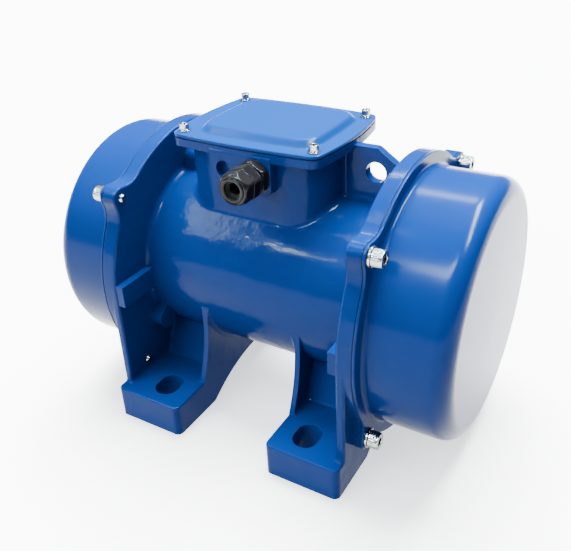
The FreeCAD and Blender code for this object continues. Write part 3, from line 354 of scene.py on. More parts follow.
@dataclass(frozen=True)
class Paint(Finish):
    """Blue enamel with gloss: on castings it lies over grain and flows into shallow waves."""

    colour: tuple = (0.0010, 0.0192, 0.114)
    deep: tuple = (0.0008, 0.0148, 0.092)
    # Pale colour that edges are lightened towards: a painted highlight, and paint running thin there.
    thin_paint_and_highlight: tuple = (0.008, 0.060, 0.260)
    cloud: float = 14.0
    speck: float = 240.0
    roughness: float = 0.13
    specular: float = 0.032
    grain: float = 420.0
    grain_depth: float = 0.00003
    wave: float = 62.0
    wave_depth: float = 0.00050
    wrinkle: float = 300.0
    wrinkle_depth: float = 0.00014
    edge: float = 0.0006

    def build(self, graph: Graph) -> bpy.types.Material:
        """Mottled blue, paler over edges as a painted highlight that also stands for paint running thin, with
        waves, wrinkles and grain as relief.
        """
        cloud = graph.noise(self.cloud, 2.0)
        speck = graph.noise(self.speck, 4.0)
        base = graph.mix((cloud * 0.7 + speck * 0.3).limited(), self.deep, self.colour)
        # Edge mask for the painted highlight: edges get a paler colour where light catches them, besides the
        # thinner paint there.
        worn = graph.edges(self.edge) * (speck * 0.9 + 0.25).limited()
        relief = (graph.noise(self.grain, 3.0) * (self.grain_depth / self.wave_depth)
                  + graph.noise(self.wave, 1.0)
                  + graph.noise(self.wrinkle, 2.0) * (self.wrinkle_depth / self.wave_depth))
        return graph.finish(
            Base_Color=graph.mix(worn * 0.5, base, self.thin_paint_and_highlight), Metallic=0.0, IOR=1.5,
            Roughness=speck * 0.10 + (self.roughness - 0.05), Specular_IOR_Level=self.specular,
            Normal=graph.bump(relief, self.wave_depth, self.edge))


@dataclass(frozen=True)
class Plating(Finish):
    """Bright metal: zinc plating, ground or turned steel, aluminium, copper or brass."""

    colour: tuple = (0.66, 0.66, 0.63)
    dull: tuple = (0.48, 0.49, 0.48)
    cloud: float = 180.0
    roughness: float = 0.24
    depth: float = 0.00003
    grain: float = 900.0
    rings: float = 0.0
    edge: float = 0.0003

    def build(self, graph: Graph) -> bpy.types.Material:
        """Clouded metal with fine pits and, on turned faces, tool rings along the shaft."""
        cloud = graph.noise(self.cloud)
        relief = graph.noise(self.grain, 2.0)
        if self.rings:
            ring = graph.node("ShaderNodeTexWave", {"wave_type": "BANDS", "bands_direction": "X"},
                              {"Vector": graph.place, "Scale": self.rings, "Distortion": 0.4}, "Fac")
            relief = relief * 0.4 + ring * 0.6
        return graph.finish(
            Base_Color=graph.mix(cloud, self.dull, self.colour), Metallic=1.0,
            Roughness=cloud * 0.14 + (self.roughness - 0.07),
            Normal=graph.bump(relief, self.depth, self.edge))


@dataclass(frozen=True)
class Moulding(Finish):
    """Moulded nylon, resin or rubber with a fine spark-eroded grain."""

    colour: tuple = (0.0016, 0.0016, 0.0018)
    worn: tuple = (0.0035, 0.0035, 0.0037)
    cloud: float = 160.0
    roughness: float = 0.30
    specular: float = 0.05
    depth: float = 0.00003
    grain: float = 1400.0
    edge: float = 0.0003

    def build(self, graph: Graph) -> bpy.types.Material:
        """Nearly black, greyer where it is handled, with grain as relief."""
        cloud = graph.noise(self.cloud)
        grain = graph.noise(self.grain, 2.0)
        return graph.finish(
            Base_Color=graph.mix(cloud * 0.6, self.colour, self.worn),
            Roughness=grain * 0.12 + (self.roughness - 0.06), Metallic=0.0,
            Specular_IOR_Level=self.specular, Normal=graph.bump(grain, self.depth, self.edge))


CAST_PAINT = Paint("cast_enamel")
COVER_PAINT = Paint("cover_enamel", roughness=0.18, grain=300.0, grain_depth=0.000006, wave=18.0,
                    wave_depth=0.00010, wrinkle_depth=0.000006, edge=0.0005)
# Paler than the casting's paint: painted light, standing in for the light that falls on the lid's top.
LID_PAINT = Paint("lid_enamel", colour=(0.0012, 0.0275, 0.142), deep=(0.0011, 0.0250, 0.128),
                  roughness=0.24, grain_depth=0.00001, wave=25.0, wave_depth=0.00012,
                  wrinkle_depth=0.00001, edge=0.0005)
ZINC = Plating("bright_zinc", colour=(0.26, 0.26, 0.255), dull=(0.21, 0.21, 0.205), roughness=0.20)
TURNED = Plating("turned_steel", colour=(0.55, 0.55, 0.56), dull=(0.42, 0.42, 0.43), rings=260.0)
GROUND = Plating("ground_steel", colour=(0.70, 0.70, 0.72), dull=(0.58, 0.58, 0.60), roughness=0.14)
BLANK = Plating("flame_cut_steel", colour=(0.36, 0.36, 0.37), dull=(0.22, 0.21, 0.21), roughness=0.42,
                depth=0.00012, grain=320.0)
IRON = Plating("machined_iron", colour=(0.30, 0.30, 0.31), dull=(0.18, 0.18, 0.18), roughness=0.46,
               depth=0.00014, grain=420.0)
SHEETS = Plating("core_sheets", colour=(0.34, 0.34, 0.36), dull=(0.20, 0.20, 0.21), roughness=0.38,
                 rings=640.0, depth=0.0001)
CAST_ALUMINIUM = Plating("cast_aluminium", colour=(0.74, 0.74, 0.75), dull=(0.58, 0.58, 0.59),
                         roughness=0.38, depth=0.0001, grain=360.0)
COPPER = Plating("varnished_copper", colour=(0.62, 0.24, 0.10), dull=(0.40, 0.12, 0.05), roughness=0.30,
                 rings=420.0, depth=0.00025)
BRASS = Plating("plain_brass", colour=(0.78, 0.60, 0.28), dull=(0.62, 0.44, 0.18))
NYLON = Moulding("black_nylon", colour=(0.005, 0.005, 0.006), worn=(0.011, 0.011, 0.012),
                 roughness=0.16, specular=0.06)
RUBBER = Moulding("black_rubber", colour=(0.004, 0.004, 0.004), worn=(0.010, 0.010, 0.010),
                  roughness=0.45)
GASKET = Moulding("sheet_gasket", colour=(0.003, 0.004, 0.006), worn=(0.006, 0.007, 0.010),
                  roughness=0.7)
RESIN = Moulding("moulded_resin", colour=(0.012, 0.011, 0.010), worn=(0.030, 0.027, 0.024),
                 roughness=0.45)


# ---- sub-assemblies ----
@dataclass
class Node:
    """A CAD node's box at rest."""

    name: str
    low: Vector = field(init=False)
    high: Vector = field(init=False)

    def __post_init__(self) -> None:
        """Read the corners from the frame."""
        self.low, self.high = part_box(self.name)


@dataclass
class ScrewSet:
    """Socket-head screws of one size with their spring washers."""

    screw_node: str
    washer_node: str
    piece: str
    radius: float
    pitch: float
    head_radius: float
    head: float
    socket: float
    washer_radius: float
    washer: float
    knurls: int = 36
    knurl_depth: float = 0.16 * MM
    thread_depth: float = 0.34 * MM

    def shank(self, length: float) -> Patch:
        """Threaded shank from its tip at 0 to the head's seat.

        Formula: the radius falls from the crest by a triangle wave of angle over a turn minus
        distance over the pitch, and the tip is chamfered.

        Args:
            length: Distance from tip to seat.

        Returns:
            The closed surface.
        """
        columns = 40
        x = np.linspace(0, length, int(length / self.pitch * 6))
        phase = (angles(columns) / TURN)[None, :] - x[:, None] / self.pitch
        wave = np.abs((phase % 1.0) * 2 - 1)
        tip = np.minimum(1.0, 0.72 + x / (0.9 * self.pitch) * 0.28)[:, None]
        return skin(revolve(x, (self.radius - self.thread_depth * wave) * tip, columns))

    def cap(self) -> Patch:
        """Knurled head with a hexagon socket, standing on 0.

        Formula: rows run up the knurled side, over the rim's round and down the socket; a knurled
        row's radius dips by a raised cosine, and a socket row's is the hexagon's polar radius.

        Returns:
            The closed surface.
        """
        columns = self.knurls * 4
        angle = angles(columns)
        outer, knurl = self.head_radius, self.knurl_depth * (0.5 - 0.5 * np.cos(self.knurls * angle))
        hexa = hexagon(self.socket, angle)
        rim = 0.09 * self.head
        mouth = self.socket / math.sqrt(3) * 1.06
        rows = [(0.0, outer * 0.6), (0.0, outer - rim * 0.6), (rim * 0.6, outer), (rim * 1.1, outer - knurl)]
        rows += [(x, outer - knurl) for x in np.linspace(0.18, 0.78, 4) * self.head]
        rows.append((self.head - rim * 1.4, outer))
        rows += [(self.head - rim + rim * math.sin(a), outer - rim + rim * math.cos(a))
                 for a in np.linspace(0.2, math.pi / 2, 5)]
        rows += [(self.head, mouth), (self.head - 0.05 * self.head, hexa), (0.42 * self.head, hexa),
                 (0.40 * self.head, hexa * 0.5)]
        return skin(turning(rows, columns))

    def spring_washer(self) -> Patch:
        """Split ring from 0 to its thickness.

        Formula: a rounded rectangle carried round most of a turn, its two ends a little apart
        along the axis.

        Returns:
            The closed surface.
        """
        inner, gap, lift = self.radius * 1.03, 0.10, 0.08 * self.washer
        mid, half = (self.washer_radius + inner) / 2, (self.washer_radius - inner) / 2
        thick = (self.washer - lift) / 2
        across, up = squared_circle(0.35, 16)
        sweep = np.linspace(gap, TURN - gap, 72)[:, None]
        radius = mid + across[None, :] * half
        x = thick + up[None, :] * thick + lift * sweep / TURN
        return skin(np.stack([x, radius * np.cos(sweep), radius * np.sin(sweep)], -1))

    def places(self, along_x: bool) -> list[tuple[float, float]]:
        """Screw centres on the two axes across the screws, read from the node's box."""
        node, reach = Node(self.screw_node), self.head_radius
        first, second = ((node.low[axis] + reach, node.high[axis] - reach)
                         for axis in ((1, 2) if along_x else (0, 1)))
        return [(a, b) for a in first for b in second]


@dataclass
class CoverScrews(ScrewSet):
    """The four screws that hold each end cover; each stands turned a little further than the last."""

    reach: float = 13.4 * MM
    turns: tuple[float, float, float] = (0.5, 1.1, 0.3)
    spring_turn: float = 2.3

    def build(self) -> None:
        """Make the screws of both ends as one piece, and their washers as another."""
        seat = Node(self.screw_node).high.x - self.head
        length = seat - Node("cover_gasket_right").low.x + self.reach
        washer = Node(self.washer_node).high.x - self.washer
        heads, rings = [], []
        for index, (y, z) in enumerate(self.places(True)):
            for side, along in ((Side.RIGHT, Along.PLUS_X), (Side.LEFT, Along.MINUS_X)):
                turn = self.turns[0] + self.turns[1] * index + self.turns[2] * side.value
                heads.append(self.cap().turned(turn).placed(along, (side.value * seat, y, z)))
                heads.append(self.shank(length).placed(along, (side.value * (seat - length), y, z)))
                rings.append(self.spring_washer().turned(turn * self.spring_turn).placed(
                    along, (side.value * washer, y, z)))
        make_piece(self.piece, joined(heads), ZINC, self.screw_node)
        make_piece(self.piece + "_springs", joined(rings), ZINC, self.washer_node)


@dataclass
class LidScrews(ScrewSet):
    """The four screws of the terminal lid, each on a spring washer and a flat washer."""

    flat_node: str = "lid_flat_washers"
    flat_radius: float = 4.5 * MM
    turns: tuple[float, float] = (0.4, 1.7)

    def flat_washer(self, thickness: float) -> Patch:
        """Flat ring with broken edges, as a superellipse section carried round the axis."""
        inner = self.radius * 1.06
        mid, half = (self.flat_radius + inner) / 2, (self.flat_radius - inner) / 2
        across, up = squared_circle(0.25, 20)
        return skin(revolve(thickness / 2 * (1 + up), (mid + across * half)[:, None], 64), ring=True)

    def build(self) -> None:
        """Make the screws, the spring washers and the flat washers, one piece each."""
        screws, springs, flats = Node(self.screw_node), Node(self.washer_node), Node(self.flat_node)
        seat = screws.high.z - self.head
        heads, rings, plates = [], [], []
        for index, (x, y) in enumerate(self.places(False)):
            turn = self.turns[0] + self.turns[1] * index
            for group, patch, z in (
                    (heads, self.cap().turned(turn), seat),
                    (heads, self.shank(seat - screws.low.z), screws.low.z),
                    (rings, self.spring_washer().turned(turn), springs.low.z),
                    (plates, self.flat_washer(flats.high.z - flats.low.z), flats.low.z)):
                group.append(patch.placed(Along.PLUS_Z, (x, y, z)))
        make_piece(self.piece, joined(heads), ZINC, self.screw_node)
        make_piece(self.piece + "_springs", joined(rings), ZINC, self.washer_node)
        make_piece(self.piece + "_washers", joined(plates), ZINC, self.flat_node)


@dataclass
class Cover:
    """Deep-drawn end cover with a lobed flange."""

    side: Side
    radius: float = 100.0 * MM
    wall: float = 2.0 * MM
    edge_round: float = 13.9 * MM
    root_round: float = 3.0 * MM
    flange_radius: float = 110.5 * MM
    screw_circle: float = 115.5 * MM
    screw_angle: float = 41.0
    lobe: float = 9.2 * MM
    blend: float = 24.0 * MM
    rim_round: float = 0.6 * MM
    dish: float = 0.35 * MM
    columns: int = 600

    def outline(self, angle: np.ndarray) -> np.ndarray:
        """Polar radius of the flange.

        Formula: near a screw the far crossing of the ray with the lobe's circle; beside it the
        near crossing with a blending circle that touches lobe and flange; elsewhere the flange.

        Args:
            angle: Polar angles, 0 along Y.

        Returns:
            The radius at each angle.
        """
        screws = np.radians([self.screw_angle, 180 - self.screw_angle, 180 + self.screw_angle,
                             360 - self.screw_angle])
        away = np.abs((angle[:, None] - screws[None, :] + math.pi) % TURN - math.pi).min(1)
        reach, near, circle = self.flange_radius + self.blend, self.lobe + self.blend, self.screw_circle
        swing = math.acos((reach ** 2 + circle ** 2 - near ** 2) / (2 * reach * circle))
        along = np.array([reach * math.cos(swing) - circle, reach * math.sin(swing)]) / near
        touch = math.atan2(self.lobe * along[1], circle + self.lobe * along[0])
        crest = (circle * np.cos(away)
                 + np.sqrt(np.maximum(self.lobe ** 2 - (circle * np.sin(away)) ** 2, 0)))
        lean = swing - away
        hollow = (reach * np.cos(lean)
                  - np.sqrt(np.maximum(self.blend ** 2 - (reach * np.sin(lean)) ** 2, 0)))
        return np.where(away < touch, crest, np.where(away < swing, hollow, self.flange_radius))

    def profile(self, end: float, face: float) -> np.ndarray:
        """Rows (along, radius, share of the lobes) of the whole shell, outer skin first.

        Args:
            end: Where the disc lies along X.
            face: Where the flange's back lies along X.

        Returns:
            The rows as (count, 3).
        """
        seat, inner = face + self.wall, self.radius - self.wall
        turn, hollow = end - self.edge_round, self.edge_round - self.wall
        rim, root, disc = self.rim_round, self.root_round, self.radius - self.edge_round
        outer = [np.linspace((end + self.dish, 2 * MM), (end, disc - 1 * MM), 10),
                 quarter((turn, disc), self.edge_round, 0, 90, 16),
                 np.linspace((turn - 2 * MM, self.radius), (seat + root + 1 * MM, self.radius), 10),
                 quarter((seat + root, self.radius + root), root, 270, 180, 8)]
        flange = [np.linspace((seat, self.radius + root + 0.8 * MM), (seat, self.flange_radius - rim), 6),
                  quarter((seat - rim, self.flange_radius - rim), rim, 15, 90, 5),
                  np.array([(face + 0.2 * MM, self.flange_radius),
                            (face, self.flange_radius - 0.2 * MM)])]
        back = [np.linspace((face, inner + 2 * MM), (face + 0.4 * MM, inner), 3),
                np.linspace((face + 2 * MM, inner), (turn - 1 * MM, inner), 6),
                quarter((turn, disc), hollow, 90, 0, 12),
                np.linspace((end - self.wall, disc - 1 * MM), (end - self.wall + self.dish, 2 * MM), 8)]
        rows = np.vstack(outer + flange + back)
        first, last = sum(map(len, outer)), sum(map(len, outer + flange))
        share = np.zeros(len(rows))
        share[first:last] = 1.0
        share[first:first + 6] = np.linspace(0.1, 1.0, 6)
        return np.column_stack([rows, share])

    def build(self, axis_height: float) -> None:
        """Make the cover round the shaft axis, which lies at a height, and dress it."""
        name = "cover_" + self.side.name.lower()
        node = Node(name)
        far, face = (node.high.x, node.low.x) if self.side is Side.RIGHT else (-node.low.x, -node.high.x)
        rows = self.profile(far - self.dish, face)
        angle = angles(self.columns)
        radius = rows[:, 1, None] + rows[:, 2, None] * (self.outline(angle) - self.flange_radius)[None, :]
        along = Along.PLUS_X if self.side is Side.RIGHT else Along.MINUS_X
        patch = skin(revolve(rows[:, 0], radius, self.columns)).placed(along, (0, 0, axis_height))
        make_piece("drawn_" + name, patch, COVER_PAINT, name, 50.0)


@dataclass(frozen=True)
class BowedOutline:
    """Four-sided outline with bowed sides and round corners, centred on the origin."""

    half_x: float
    half_y: float
    bow_x: float
    bow_y: float
    corner: float

    def inset(self, by: float) -> "BowedOutline":
        """The outline drawn in on all sides by a distance."""
        return BowedOutline(self.half_x - by, self.half_y - by, self.bow_x, self.bow_y,
                            max(self.corner - by, 0.5 * MM))

    def blend(self, other: "BowedOutline", share: float) -> "BowedOutline":
        """The outline part of the way to another."""
        pairs = zip(vars(self).values(), vars(other).values())
        return BowedOutline(*(mine + (theirs - mine) * share for mine, theirs in pairs))

    def points(self, side: int, corner: int) -> np.ndarray:
        """Points round the outline, from its right-hand end anticlockwise.

        Formula: each side is the circle through its two corners and its bowed middle; a corner's
        circle touches both, so its centre lies a corner radius inside each of them.

        Args:
            side: Number of points on half a side.
            corner: Number of points on a corner.

        Returns:
            The points as (count, 2).
        """
        end = (self.half_y ** 2 + self.bow_x ** 2) / (2 * self.bow_x)
        flank = (self.half_x ** 2 + self.bow_y ** 2) / (2 * self.bow_y)
        a = np.array([self.half_x + self.bow_x - end, 0.0])
        b = np.array([0.0, self.half_y + self.bow_y - flank])
        span = float(np.linalg.norm(b - a))
        near, far = end - self.corner, flank - self.corner
        along = (near ** 2 - far ** 2 + span ** 2) / (2 * span)
        across = math.sqrt(near ** 2 - along ** 2)
        unit = (b - a) / span
        aside = np.array([-unit[1], unit[0]]) * across
        centre = max((a + unit * along + aside * sign for sign in (1, -1)), key=sum)
        first = math.atan2(*(centre - a)[::-1])
        last = math.atan2(*(centre - b)[::-1])
        arcs = []
        for middle, radius, start, stop, count in (
                (a, end, 0.0, first, side), (centre, self.corner, first, last, corner),
                (b, flank, last, math.pi / 2, side)):
            angle = np.linspace(start, stop, count, endpoint=False)
            arcs.append(middle + radius * np.stack([np.cos(angle), np.sin(angle)], -1))
        quadrant = np.vstack(arcs)
        top = np.array([[0.0, self.half_y + self.bow_y]])
        left = np.vstack([quadrant, top])[::-1] * (-1, 1)
        upper = np.vstack([quadrant, left[:-1]])
        return np.vstack([upper, -upper])


@dataclass
class Lid:
    """Pressed terminal lid: a bowed plate with a raised middle."""

    border: BowedOutline = BowedOutline(62 * MM, 50.5 * MM, 5.5 * MM, 3 * MM, 9 * MM)
    foot: BowedOutline = BowedOutline(51.5 * MM, 42 * MM, 1.5 * MM, 1.5 * MM, 17 * MM)
    top: BowedOutline = BowedOutline(45 * MM, 34 * MM, 1.5 * MM, 1.5 * MM, 13 * MM)
    thickness: float = 2.5 * MM
    plateau: float = 5.0 * MM
    shift: float = 2.7 * MM
    edge: float = 0.9 * MM
    root_share: float = 0.30
    side_points: int = 40
    corner_points: int = 16

    def slope(self, share: np.ndarray) -> np.ndarray:
        """Fall from 0 at the top to 1 at the foot, at each share of the slope's width.

        Formula: a straight fall with a round over the shoulder and a smaller one in the root, as the
        running mean of a slope that eases in and out.
        """
        steep = np.interp(share, [0.0, 0.45, 1.0 - self.root_share, 1.0], [0.0, 1.0, 1.0, 0.0])
        fall = np.cumsum((steep[1:] + steep[:-1]) / 2 * np.diff(share))
        return np.concatenate([[0.0], fall / fall[-1]])

    def rings(self, low: float) -> list[tuple[BowedOutline, float, float]]:
        """Rings (outline, shift, height) from the middle out and back underneath, which lies at low."""
        face, crown = low + self.thickness, low + self.thickness + self.plateau
        share = np.linspace(0, 1, 19)
        made = [(self.top.inset(self.top.half_y * s), self.shift, crown)
                for s in (0.96, 0.7, 0.4, 0.15, 0.04)]
        made += [(self.top.blend(self.foot, s), self.shift, crown - self.plateau * fall)
                 for s, fall in zip(share, self.slope(share))]
        made += [(self.foot.blend(self.border, s), self.shift * (1 - s), face)
                 for s in (0.2, 0.5, 0.8, 0.9)]
        made += [(self.border.inset(self.edge * (1 - math.cos(a))), 0.0,
                  face - self.edge * (1 - math.sin(a))) for a in np.radians([90, 70, 50, 30, 10])]
        made += [(self.border, 0.0, low + 0.2 * MM), (self.border.inset(0.2 * MM), 0.0, low),
                 (self.foot, self.shift, low)]
        made += [(self.foot.blend(self.top, s).inset(self.thickness * 0.6), self.shift,
                  low + self.plateau * rise) for s, rise in ((0.25, 0.15), (0.75, 0.85), (1.0, 1.0))]
        made.append((self.top.inset(self.top.half_y * 0.9), self.shift, crown - self.thickness))
        return made

    def build(self) -> None:
        """Make the lid and dress it."""
        node = Node("terminal_lid")
        centre = (node.low + node.high) / 2
        rows = []
        for outline, shift, height in self.rings(node.low.z):
            flat = outline.points(self.side_points, self.corner_points)
            rows.append(np.column_stack([flat + (centre.x + shift, centre.y), np.full(len(flat), height)]))
        make_piece("pressed_lid", skin(np.stack(rows)), LID_PAINT, "terminal_lid", 40.0)


@dataclass
class Gland:
    """Cable gland: collar screwed into the casing, domed clamping nut and rubber seal.

    Depths count forwards from the casing's pad.
    """

    flats: float = 24.0 * MM
    thread: float = 10.0 * MM
    bore: float = 8.0 * MM
    mouth: float = 6.5 * MM
    cable: float = 4.5 * MM
    nose: float = 9.4 * MM
    nose_round: float = 0.9 * MM
    seal_depth: float = 8.0 * MM
    gap: float = 1.5 * MM
    grip: float = 10.0 * MM
    ribs: int = 66
    rib_depth: float = 0.40 * MM
    collar_turn: float = math.radians(30)
    nut_turn: float = math.radians(20)

    def collar(self, back: float, front: float) -> Patch:
        """Hexagon collar with chamfered corners on its threaded spigot.

        Formula: a row's radius is the lesser of the hexagon's and the chamfer cone's.

        Args:
            back: Depth of the spigot's inner end, below 0.
            front: Depth of the collar's front.

        Returns:
            The closed surface.
        """
        columns = 180
        hexa = hexagon(self.flats, angles(columns), self.collar_turn)
        corner = self.flats / math.sqrt(3)
        rows = [(back, self.bore), (back, self.thread - 0.6 * MM)]
        rows += [(x, self.thread - 0.35 * MM * (i % 2))
                 for i, x in enumerate(np.arange(back + 0.8 * MM, -1.0 * MM, 0.75 * MM))]
        rows.append((0.0, self.thread))
        rows += [(x, np.minimum(hexa, corner - cut)) for x, cut in (
            (0.0, 1.1 * MM), (0.9 * MM, 0.2 * MM), (front - 1.1 * MM, 0.2 * MM),
            (front - 0.2 * MM, 1.3 * MM), (front, 1.8 * MM))]
        rows += [(front, self.thread + 0.3 * MM), (front + 1.3 * MM, self.thread + 0.1 * MM),
                 (front + 1.3 * MM, self.bore)]
        return skin(turning(rows, columns), ring=True)

    def nut(self, back: float, front: float) -> Patch:
        """Clamping nut: ribbed hexagon grip, shoulder line, domed nose and rounded mouth.

        Formula: the outside is the lesser of a hexagon and a circle, which is a cone at the back
        and a dome falling as an ellipse at the front; cosine ribs cut into the grip.

        Args:
            back: Depth of the grip's rear edge.
            front: Depth of the nose.

        Returns:
            The closed surface.
        """
        columns = self.ribs * 6
        angle = angles(columns)
        corner = self.flats / math.sqrt(3)
        hexa = np.minimum(hexagon(self.flats, angle, self.nut_turn), corner - 0.5 * MM)
        rib = self.rib_depth * (0.5 - 0.5 * np.cos(self.ribs * angle))
        ribbed = self.grip - 2.2 * MM
        rows = [(back, self.thread + 0.1 * MM), (back, np.minimum(hexa, corner - 1.6 * MM)),
                (back + 0.7 * MM, np.minimum(hexa, corner - 0.6 * MM)), (back + 1.2 * MM, hexa)]
        rows += [(back + 1.3 * MM + x * ribbed, hexa - rib) for x in (0.0, 0.3, 0.6, 1.0)]
        start = back + 1.4 * MM + ribbed
        rows += [(start, hexa), (start + 0.6 * MM, hexa), (start + 0.75 * MM, hexa - 0.35 * MM)]
        depth = front - start - 0.75 * MM
        for share in np.linspace(0.05, 1.0, 22):
            dome = self.nose + (corner - self.nose) * math.sqrt(max(1 - share ** 2.2, 0.0))
            rows.append((start + 0.75 * MM + depth * share, np.minimum(hexa - 0.35 * MM, dome)))
        lip = self.nose_round
        rows[-1] = (front - lip, self.nose)
        rows += [(front - lip + lip * math.sin(a), self.nose - lip + lip * math.cos(a))
                 for a in np.radians([25, 50, 75, 90])]
        rows += [(front, self.mouth + 1.1 * MM), (front - 0.35 * MM, self.mouth + 0.35 * MM),
                 (front - 1.1 * MM, self.mouth), (front - self.seal_depth, self.mouth),
                 (front - self.seal_depth, self.thread + 0.1 * MM)]
        return skin(turning(rows, columns), ring=True)

    def seal(self, back: float, front: float) -> Patch:
        """Rubber seal with stepped rings round the cable hole in front and a sleeve behind."""
        steps = [(back, self.cable), (front - 2.2 * MM, self.cable),
                 (front - 1.4 * MM, self.cable + 0.5 * MM), (front - 1.4 * MM, self.cable + 0.8 * MM),
                 (front - 0.6 * MM, self.cable + 0.9 * MM),
                 (front - 0.6 * MM, self.cable + 1.3 * MM), (front, self.cable + 1.4 * MM),
                 (front, self.mouth - 0.05 * MM), (front - self.seal_depth, self.mouth - 0.05 * MM),
                 (front - 8.6 * MM, self.bore), (back, self.bore)]
        return skin(turning(steps, 96), ring=True)

    def build(self) -> None:
        """Make collar, nut and seal, and dress them."""
        entry = next(m for m in frame["record"]["mounts"] if m["name"] == "cable_entry")
        body, nut, seal = Node("gland_body"), Node("gland_nut"), Node("gland_seal")
        face = Node("gland_ring").low.y
        centre = Vector((entry["pos_m"][0], face, entry["pos_m"][2]))
        start = face - nut.high.y
        for name, patch, finish, slot, node in (
                ("gland_collar", self.collar(face - body.high.y, start - self.gap), NYLON, "gland_nylon",
                 "gland_body"),
                ("gland_dome_nut", self.nut(start, face - nut.low.y), NYLON, "gland_nylon", "gland_nut"),
                ("gland_rubber", self.seal(face - seal.high.y, face - seal.low.y), RUBBER, "seal_rubber",
                 "gland_seal")):
            make_piece(name, patch.placed(Along.MINUS_Y, centre), finish, node, 28.0)


SLOT_FINISHES = {
    "casting_paint": CAST_PAINT, "cover_paint": COVER_PAINT, "gasket": GASKET, "zinc_screw": ZINC,
    "zinc_washer": ZINC, "moulding": RESIN, "stud_brass": BRASS, "seal_rubber": RUBBER,
    "gland_nylon": NYLON, "core_steel": SHEETS, "winding_copper": COPPER,
    "cage_aluminium": CAST_ALUMINIUM, "housing_iron": IRON, "machined_steel": TURNED,
    "bearing_steel": GROUND, "weight_steel": BLANK,
}


def dress_nodes() -> None:
    """Give every CAD node of the record the finish that belongs to its material slot."""
    for part in frame["record"]["subparts"]:
        mesh = frame["nodes"][part["node"]].data
        finish = SLOT_FINISHES[part["material_slot"]]
        mesh.materials.clear()
        mesh.materials.append(finish.material())
        log.info("%s: %s", part["node"], finish.name)


# ---- studio ----
@dataclass(frozen=True)
class Softbox:
    """Rectangular light between two points, facing a third, that gives gloss its highlights."""

    name: str
    start: tuple[float, float, float]
    end: tuple[float, float, float]
    width: float
    target: tuple[float, float, float]
    power: float
    tint: tuple[float, float, float] = (0.68, 0.88, 1.0)

    def hang(self) -> None:
        """Put the light in the scene, out of the camera's sight."""
        first, last = Vector(self.start), Vector(self.end)
        middle = (first + last) / 2
        back = (middle - Vector(self.target)).normalized()
        along = (last - first) - back * (last - first).dot(back)
        light = bpy.data.lights.new(self.name, "AREA")
        light.shape = "RECTANGLE"
        light.size, light.size_y = along.length, self.width
        light.energy, light.color = self.power, self.tint
        along.normalize()
        lamp = add_object(self.name, light)
        lamp.visible_camera = lamp.visible_diffuse = False
        turn = Matrix((along, back.cross(along), back)).transposed().to_4x4()
        lamp.matrix_world = Matrix.Translation(middle) @ turn


@dataclass(frozen=True)
class Viewpoint:
    """Camera that stands in front, to the right and above, a little rolled."""

    azimuth: float = 31.45
    elevation: float = 28.86
    roll: float = -2.57
    distance: float = 0.60484
    target: tuple[float, float, float] = (-0.00329, 0.0, 0.1191)
    lens: float = 45.38
    shift: tuple[float, float] = (-0.0057, -0.0370)

    def place(self) -> None:
        """Make the scene's camera."""
        a, e, r = (math.radians(v) for v in (self.azimuth, self.elevation, self.roll))
        back = Vector((math.sin(a) * math.cos(e), -math.cos(a) * math.cos(e), math.sin(e)))
        level = Vector((math.cos(a), math.sin(a), 0.0))
        rise = back.cross(level)
        right = level * math.cos(r) + rise * math.sin(r)
        up = rise * math.cos(r) - level * math.sin(r)
        data = bpy.data.cameras.new("viewpoint")
        data.lens = self.lens
        data.shift_x, data.shift_y = self.shift
        data.clip_start, data.clip_end = 0.05, 50.0
        camera = add_object("viewpoint", data)
        turn = Matrix((right, up, back)).transposed().to_4x4()
        camera.matrix_world = Matrix.Translation(Vector(self.target) + back * self.distance) @ turn
        bpy.context.scene.camera = camera


@dataclass(frozen=True)
class Daylight:
    """Broad light from one direction, the same everywhere on the floor, with no mirror image."""

    name: str
    direction: tuple[float, float, float]
    strength: float
    spread: float

    def hang(self) -> None:
        """Put the light in the scene."""
        light = bpy.data.lights.new(self.name, "SUN")
        light.energy, light.angle = self.strength, math.radians(self.spread)
        lamp = add_object(self.name, light)
        lamp.visible_glossy = False
        lamp.rotation_euler = Vector(self.direction).to_track_quat("-Z", "Y").to_euler()


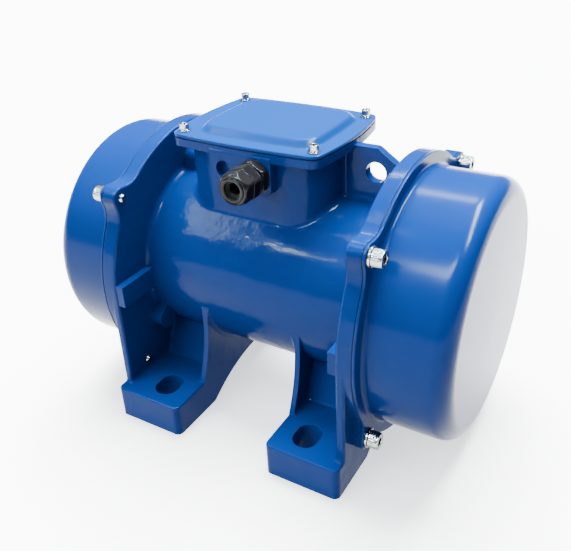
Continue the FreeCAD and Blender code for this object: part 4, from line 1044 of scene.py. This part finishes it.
@dataclass(frozen=True)
class Studio:
    """Pale floor, dim pale surroundings and soft lights."""

    floor_half: float = 8.0
    floor_colour: tuple[float, float, float] = (0.76, 0.77, 0.78)
    floor_glow: float = 1.6
    sky: float = 2.0
    sky_tint: tuple[float, float, float] = (0.90, 0.96, 1.0)
    backdrop: tuple[float, float, float] = (4.2, 4.2, 4.2)
    sky_levels: tuple[tuple[float, float], ...] = ((0.0, 0.98), (0.44, 0.80), (0.53, 0.20), (0.66, 0.22),
                                                   (0.82, 0.85), (1.0, 0.95))
    lights: tuple[Daylight | Softbox, ...] = (
        Daylight("rear_skylight", (0.18, -0.52, -1.0), 40.0, 50.0),
        Daylight("front_fill", (0.60, 1.0, -0.80), 6.0, 60.0),
        Softbox("back_strip", (-0.62, 0.86, 1.45), (-0.12, 0.94, 1.45), 0.14, (0.12, 0.0, 0.2), 30.0),
        Softbox("right_strip", (0.16, 0.80, 1.45), (0.80, -0.20, 1.45), 0.26, (0.16, 0.0, 0.2), 380.0),
        Softbox("front_strip", (0.30, -0.66, 1.45), (-0.30, -1.08, 1.45), 0.24, (0.16, 0.0, 0.2), 120.0),
        Softbox("left_window", (-0.46, -0.55, 0.50), (-0.42, -0.08, 0.80), 0.13, (-0.03, -0.05, 0.15), 13.0),
        Softbox("front_left_bank", (-1.15, -0.85, 1.40), (-0.30, -1.40, 1.40), 0.32, (0.0, 0.0, 0.15), 8.0),
        Softbox("top_left_panel", (-0.27, -0.09, 0.85), (-0.13, -0.20, 0.85), 0.12, (0.10, -0.06, 0.2), 3.0),
        Softbox("lamp", (-0.52, -0.75, 0.90), (-0.48, -0.78, 0.90), 0.05, (0.0, -0.05, 0.2), 8.0),
    )

    def floor(self) -> None:
        """Lay a plain floor under the feet."""
        half = self.floor_half
        mesh = bpy.data.meshes.new("floor")
        mesh.from_pydata([(x, y, 0.0) for x in (-half, half) for y in (-half, half)], [], [(0, 2, 3, 1)])
        graph = Graph("pale_floor")
        mesh.materials.append(graph.finish(
            Base_Color=self.floor_colour, Roughness=0.9, Metallic=0.0, Specular_IOR_Level=0.0,
            Emission_Color=self.floor_colour, Emission_Strength=self.floor_glow))
        floor = add_object("floor", mesh)
        floor.visible_diffuse = False

    def light(self) -> None:
        """Hang the lights and set the surroundings."""
        world = bpy.data.worlds.new("pale_room")
        graph = Graph("pale_room", world)
        facing = graph.node("ShaderNodeTexCoord", output="Generated")
        height = graph.node("ShaderNodeSeparateXYZ", {}, {0: facing}, "Z")
        stops = [(place, (*(part * level for part in self.sky_tint), 1.0))
                 for place, level in self.sky_levels]
        glow = graph.mix(graph.node("ShaderNodeLightPath", output="Is Camera Ray"),
                         graph.node("ShaderNodeValToRGB", {"stops": stops}, {"Fac": height * 0.5 + 0.5}),
                         self.backdrop)
        shader = graph.node("ShaderNodeBackground", {}, {"Color": glow, "Strength": self.sky})
        graph.show(shader, "ShaderNodeOutputWorld")
        bpy.context.scene.world = world
        for light in self.lights:
            light.hang()


def main() -> None:
    """Build every sub-assembly in order, dress the rest and set up the studio."""
    logging.basicConfig(level=logging.INFO, format="%(name)s: %(message)s")
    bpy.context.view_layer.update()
    axis_height = next(j for j in frame["joints"] if j["name"] == "rotor_spin")["pos_m"][2]
    dress_nodes()
    for side in Side:
        Cover(side).build(axis_height)
    CoverScrews("cover_screws", "cover_spring_washers", "cover_cap_screws", radius=4.0 * MM, pitch=1.25 * MM,
                head_radius=6.5 * MM, head=8.0 * MM, socket=6.0 * MM, washer_radius=7.4 * MM,
                washer=2.0 * MM).build()
    Lid().build()
    LidScrews("lid_screws", "lid_spring_washers", "lid_cap_screws", radius=2.0 * MM, pitch=0.7 * MM,
              head_radius=3.5 * MM, head=4.0 * MM, socket=3.0 * MM, washer_radius=3.7 * MM,
              washer=0.9 * MM, knurls=28, knurl_depth=0.09 * MM, thread_depth=0.2 * MM).build()
    Gland().build()
    Viewpoint().place()
    studio = Studio()
    studio.floor()
    studio.light()


if __name__ == "__main__":
    main()
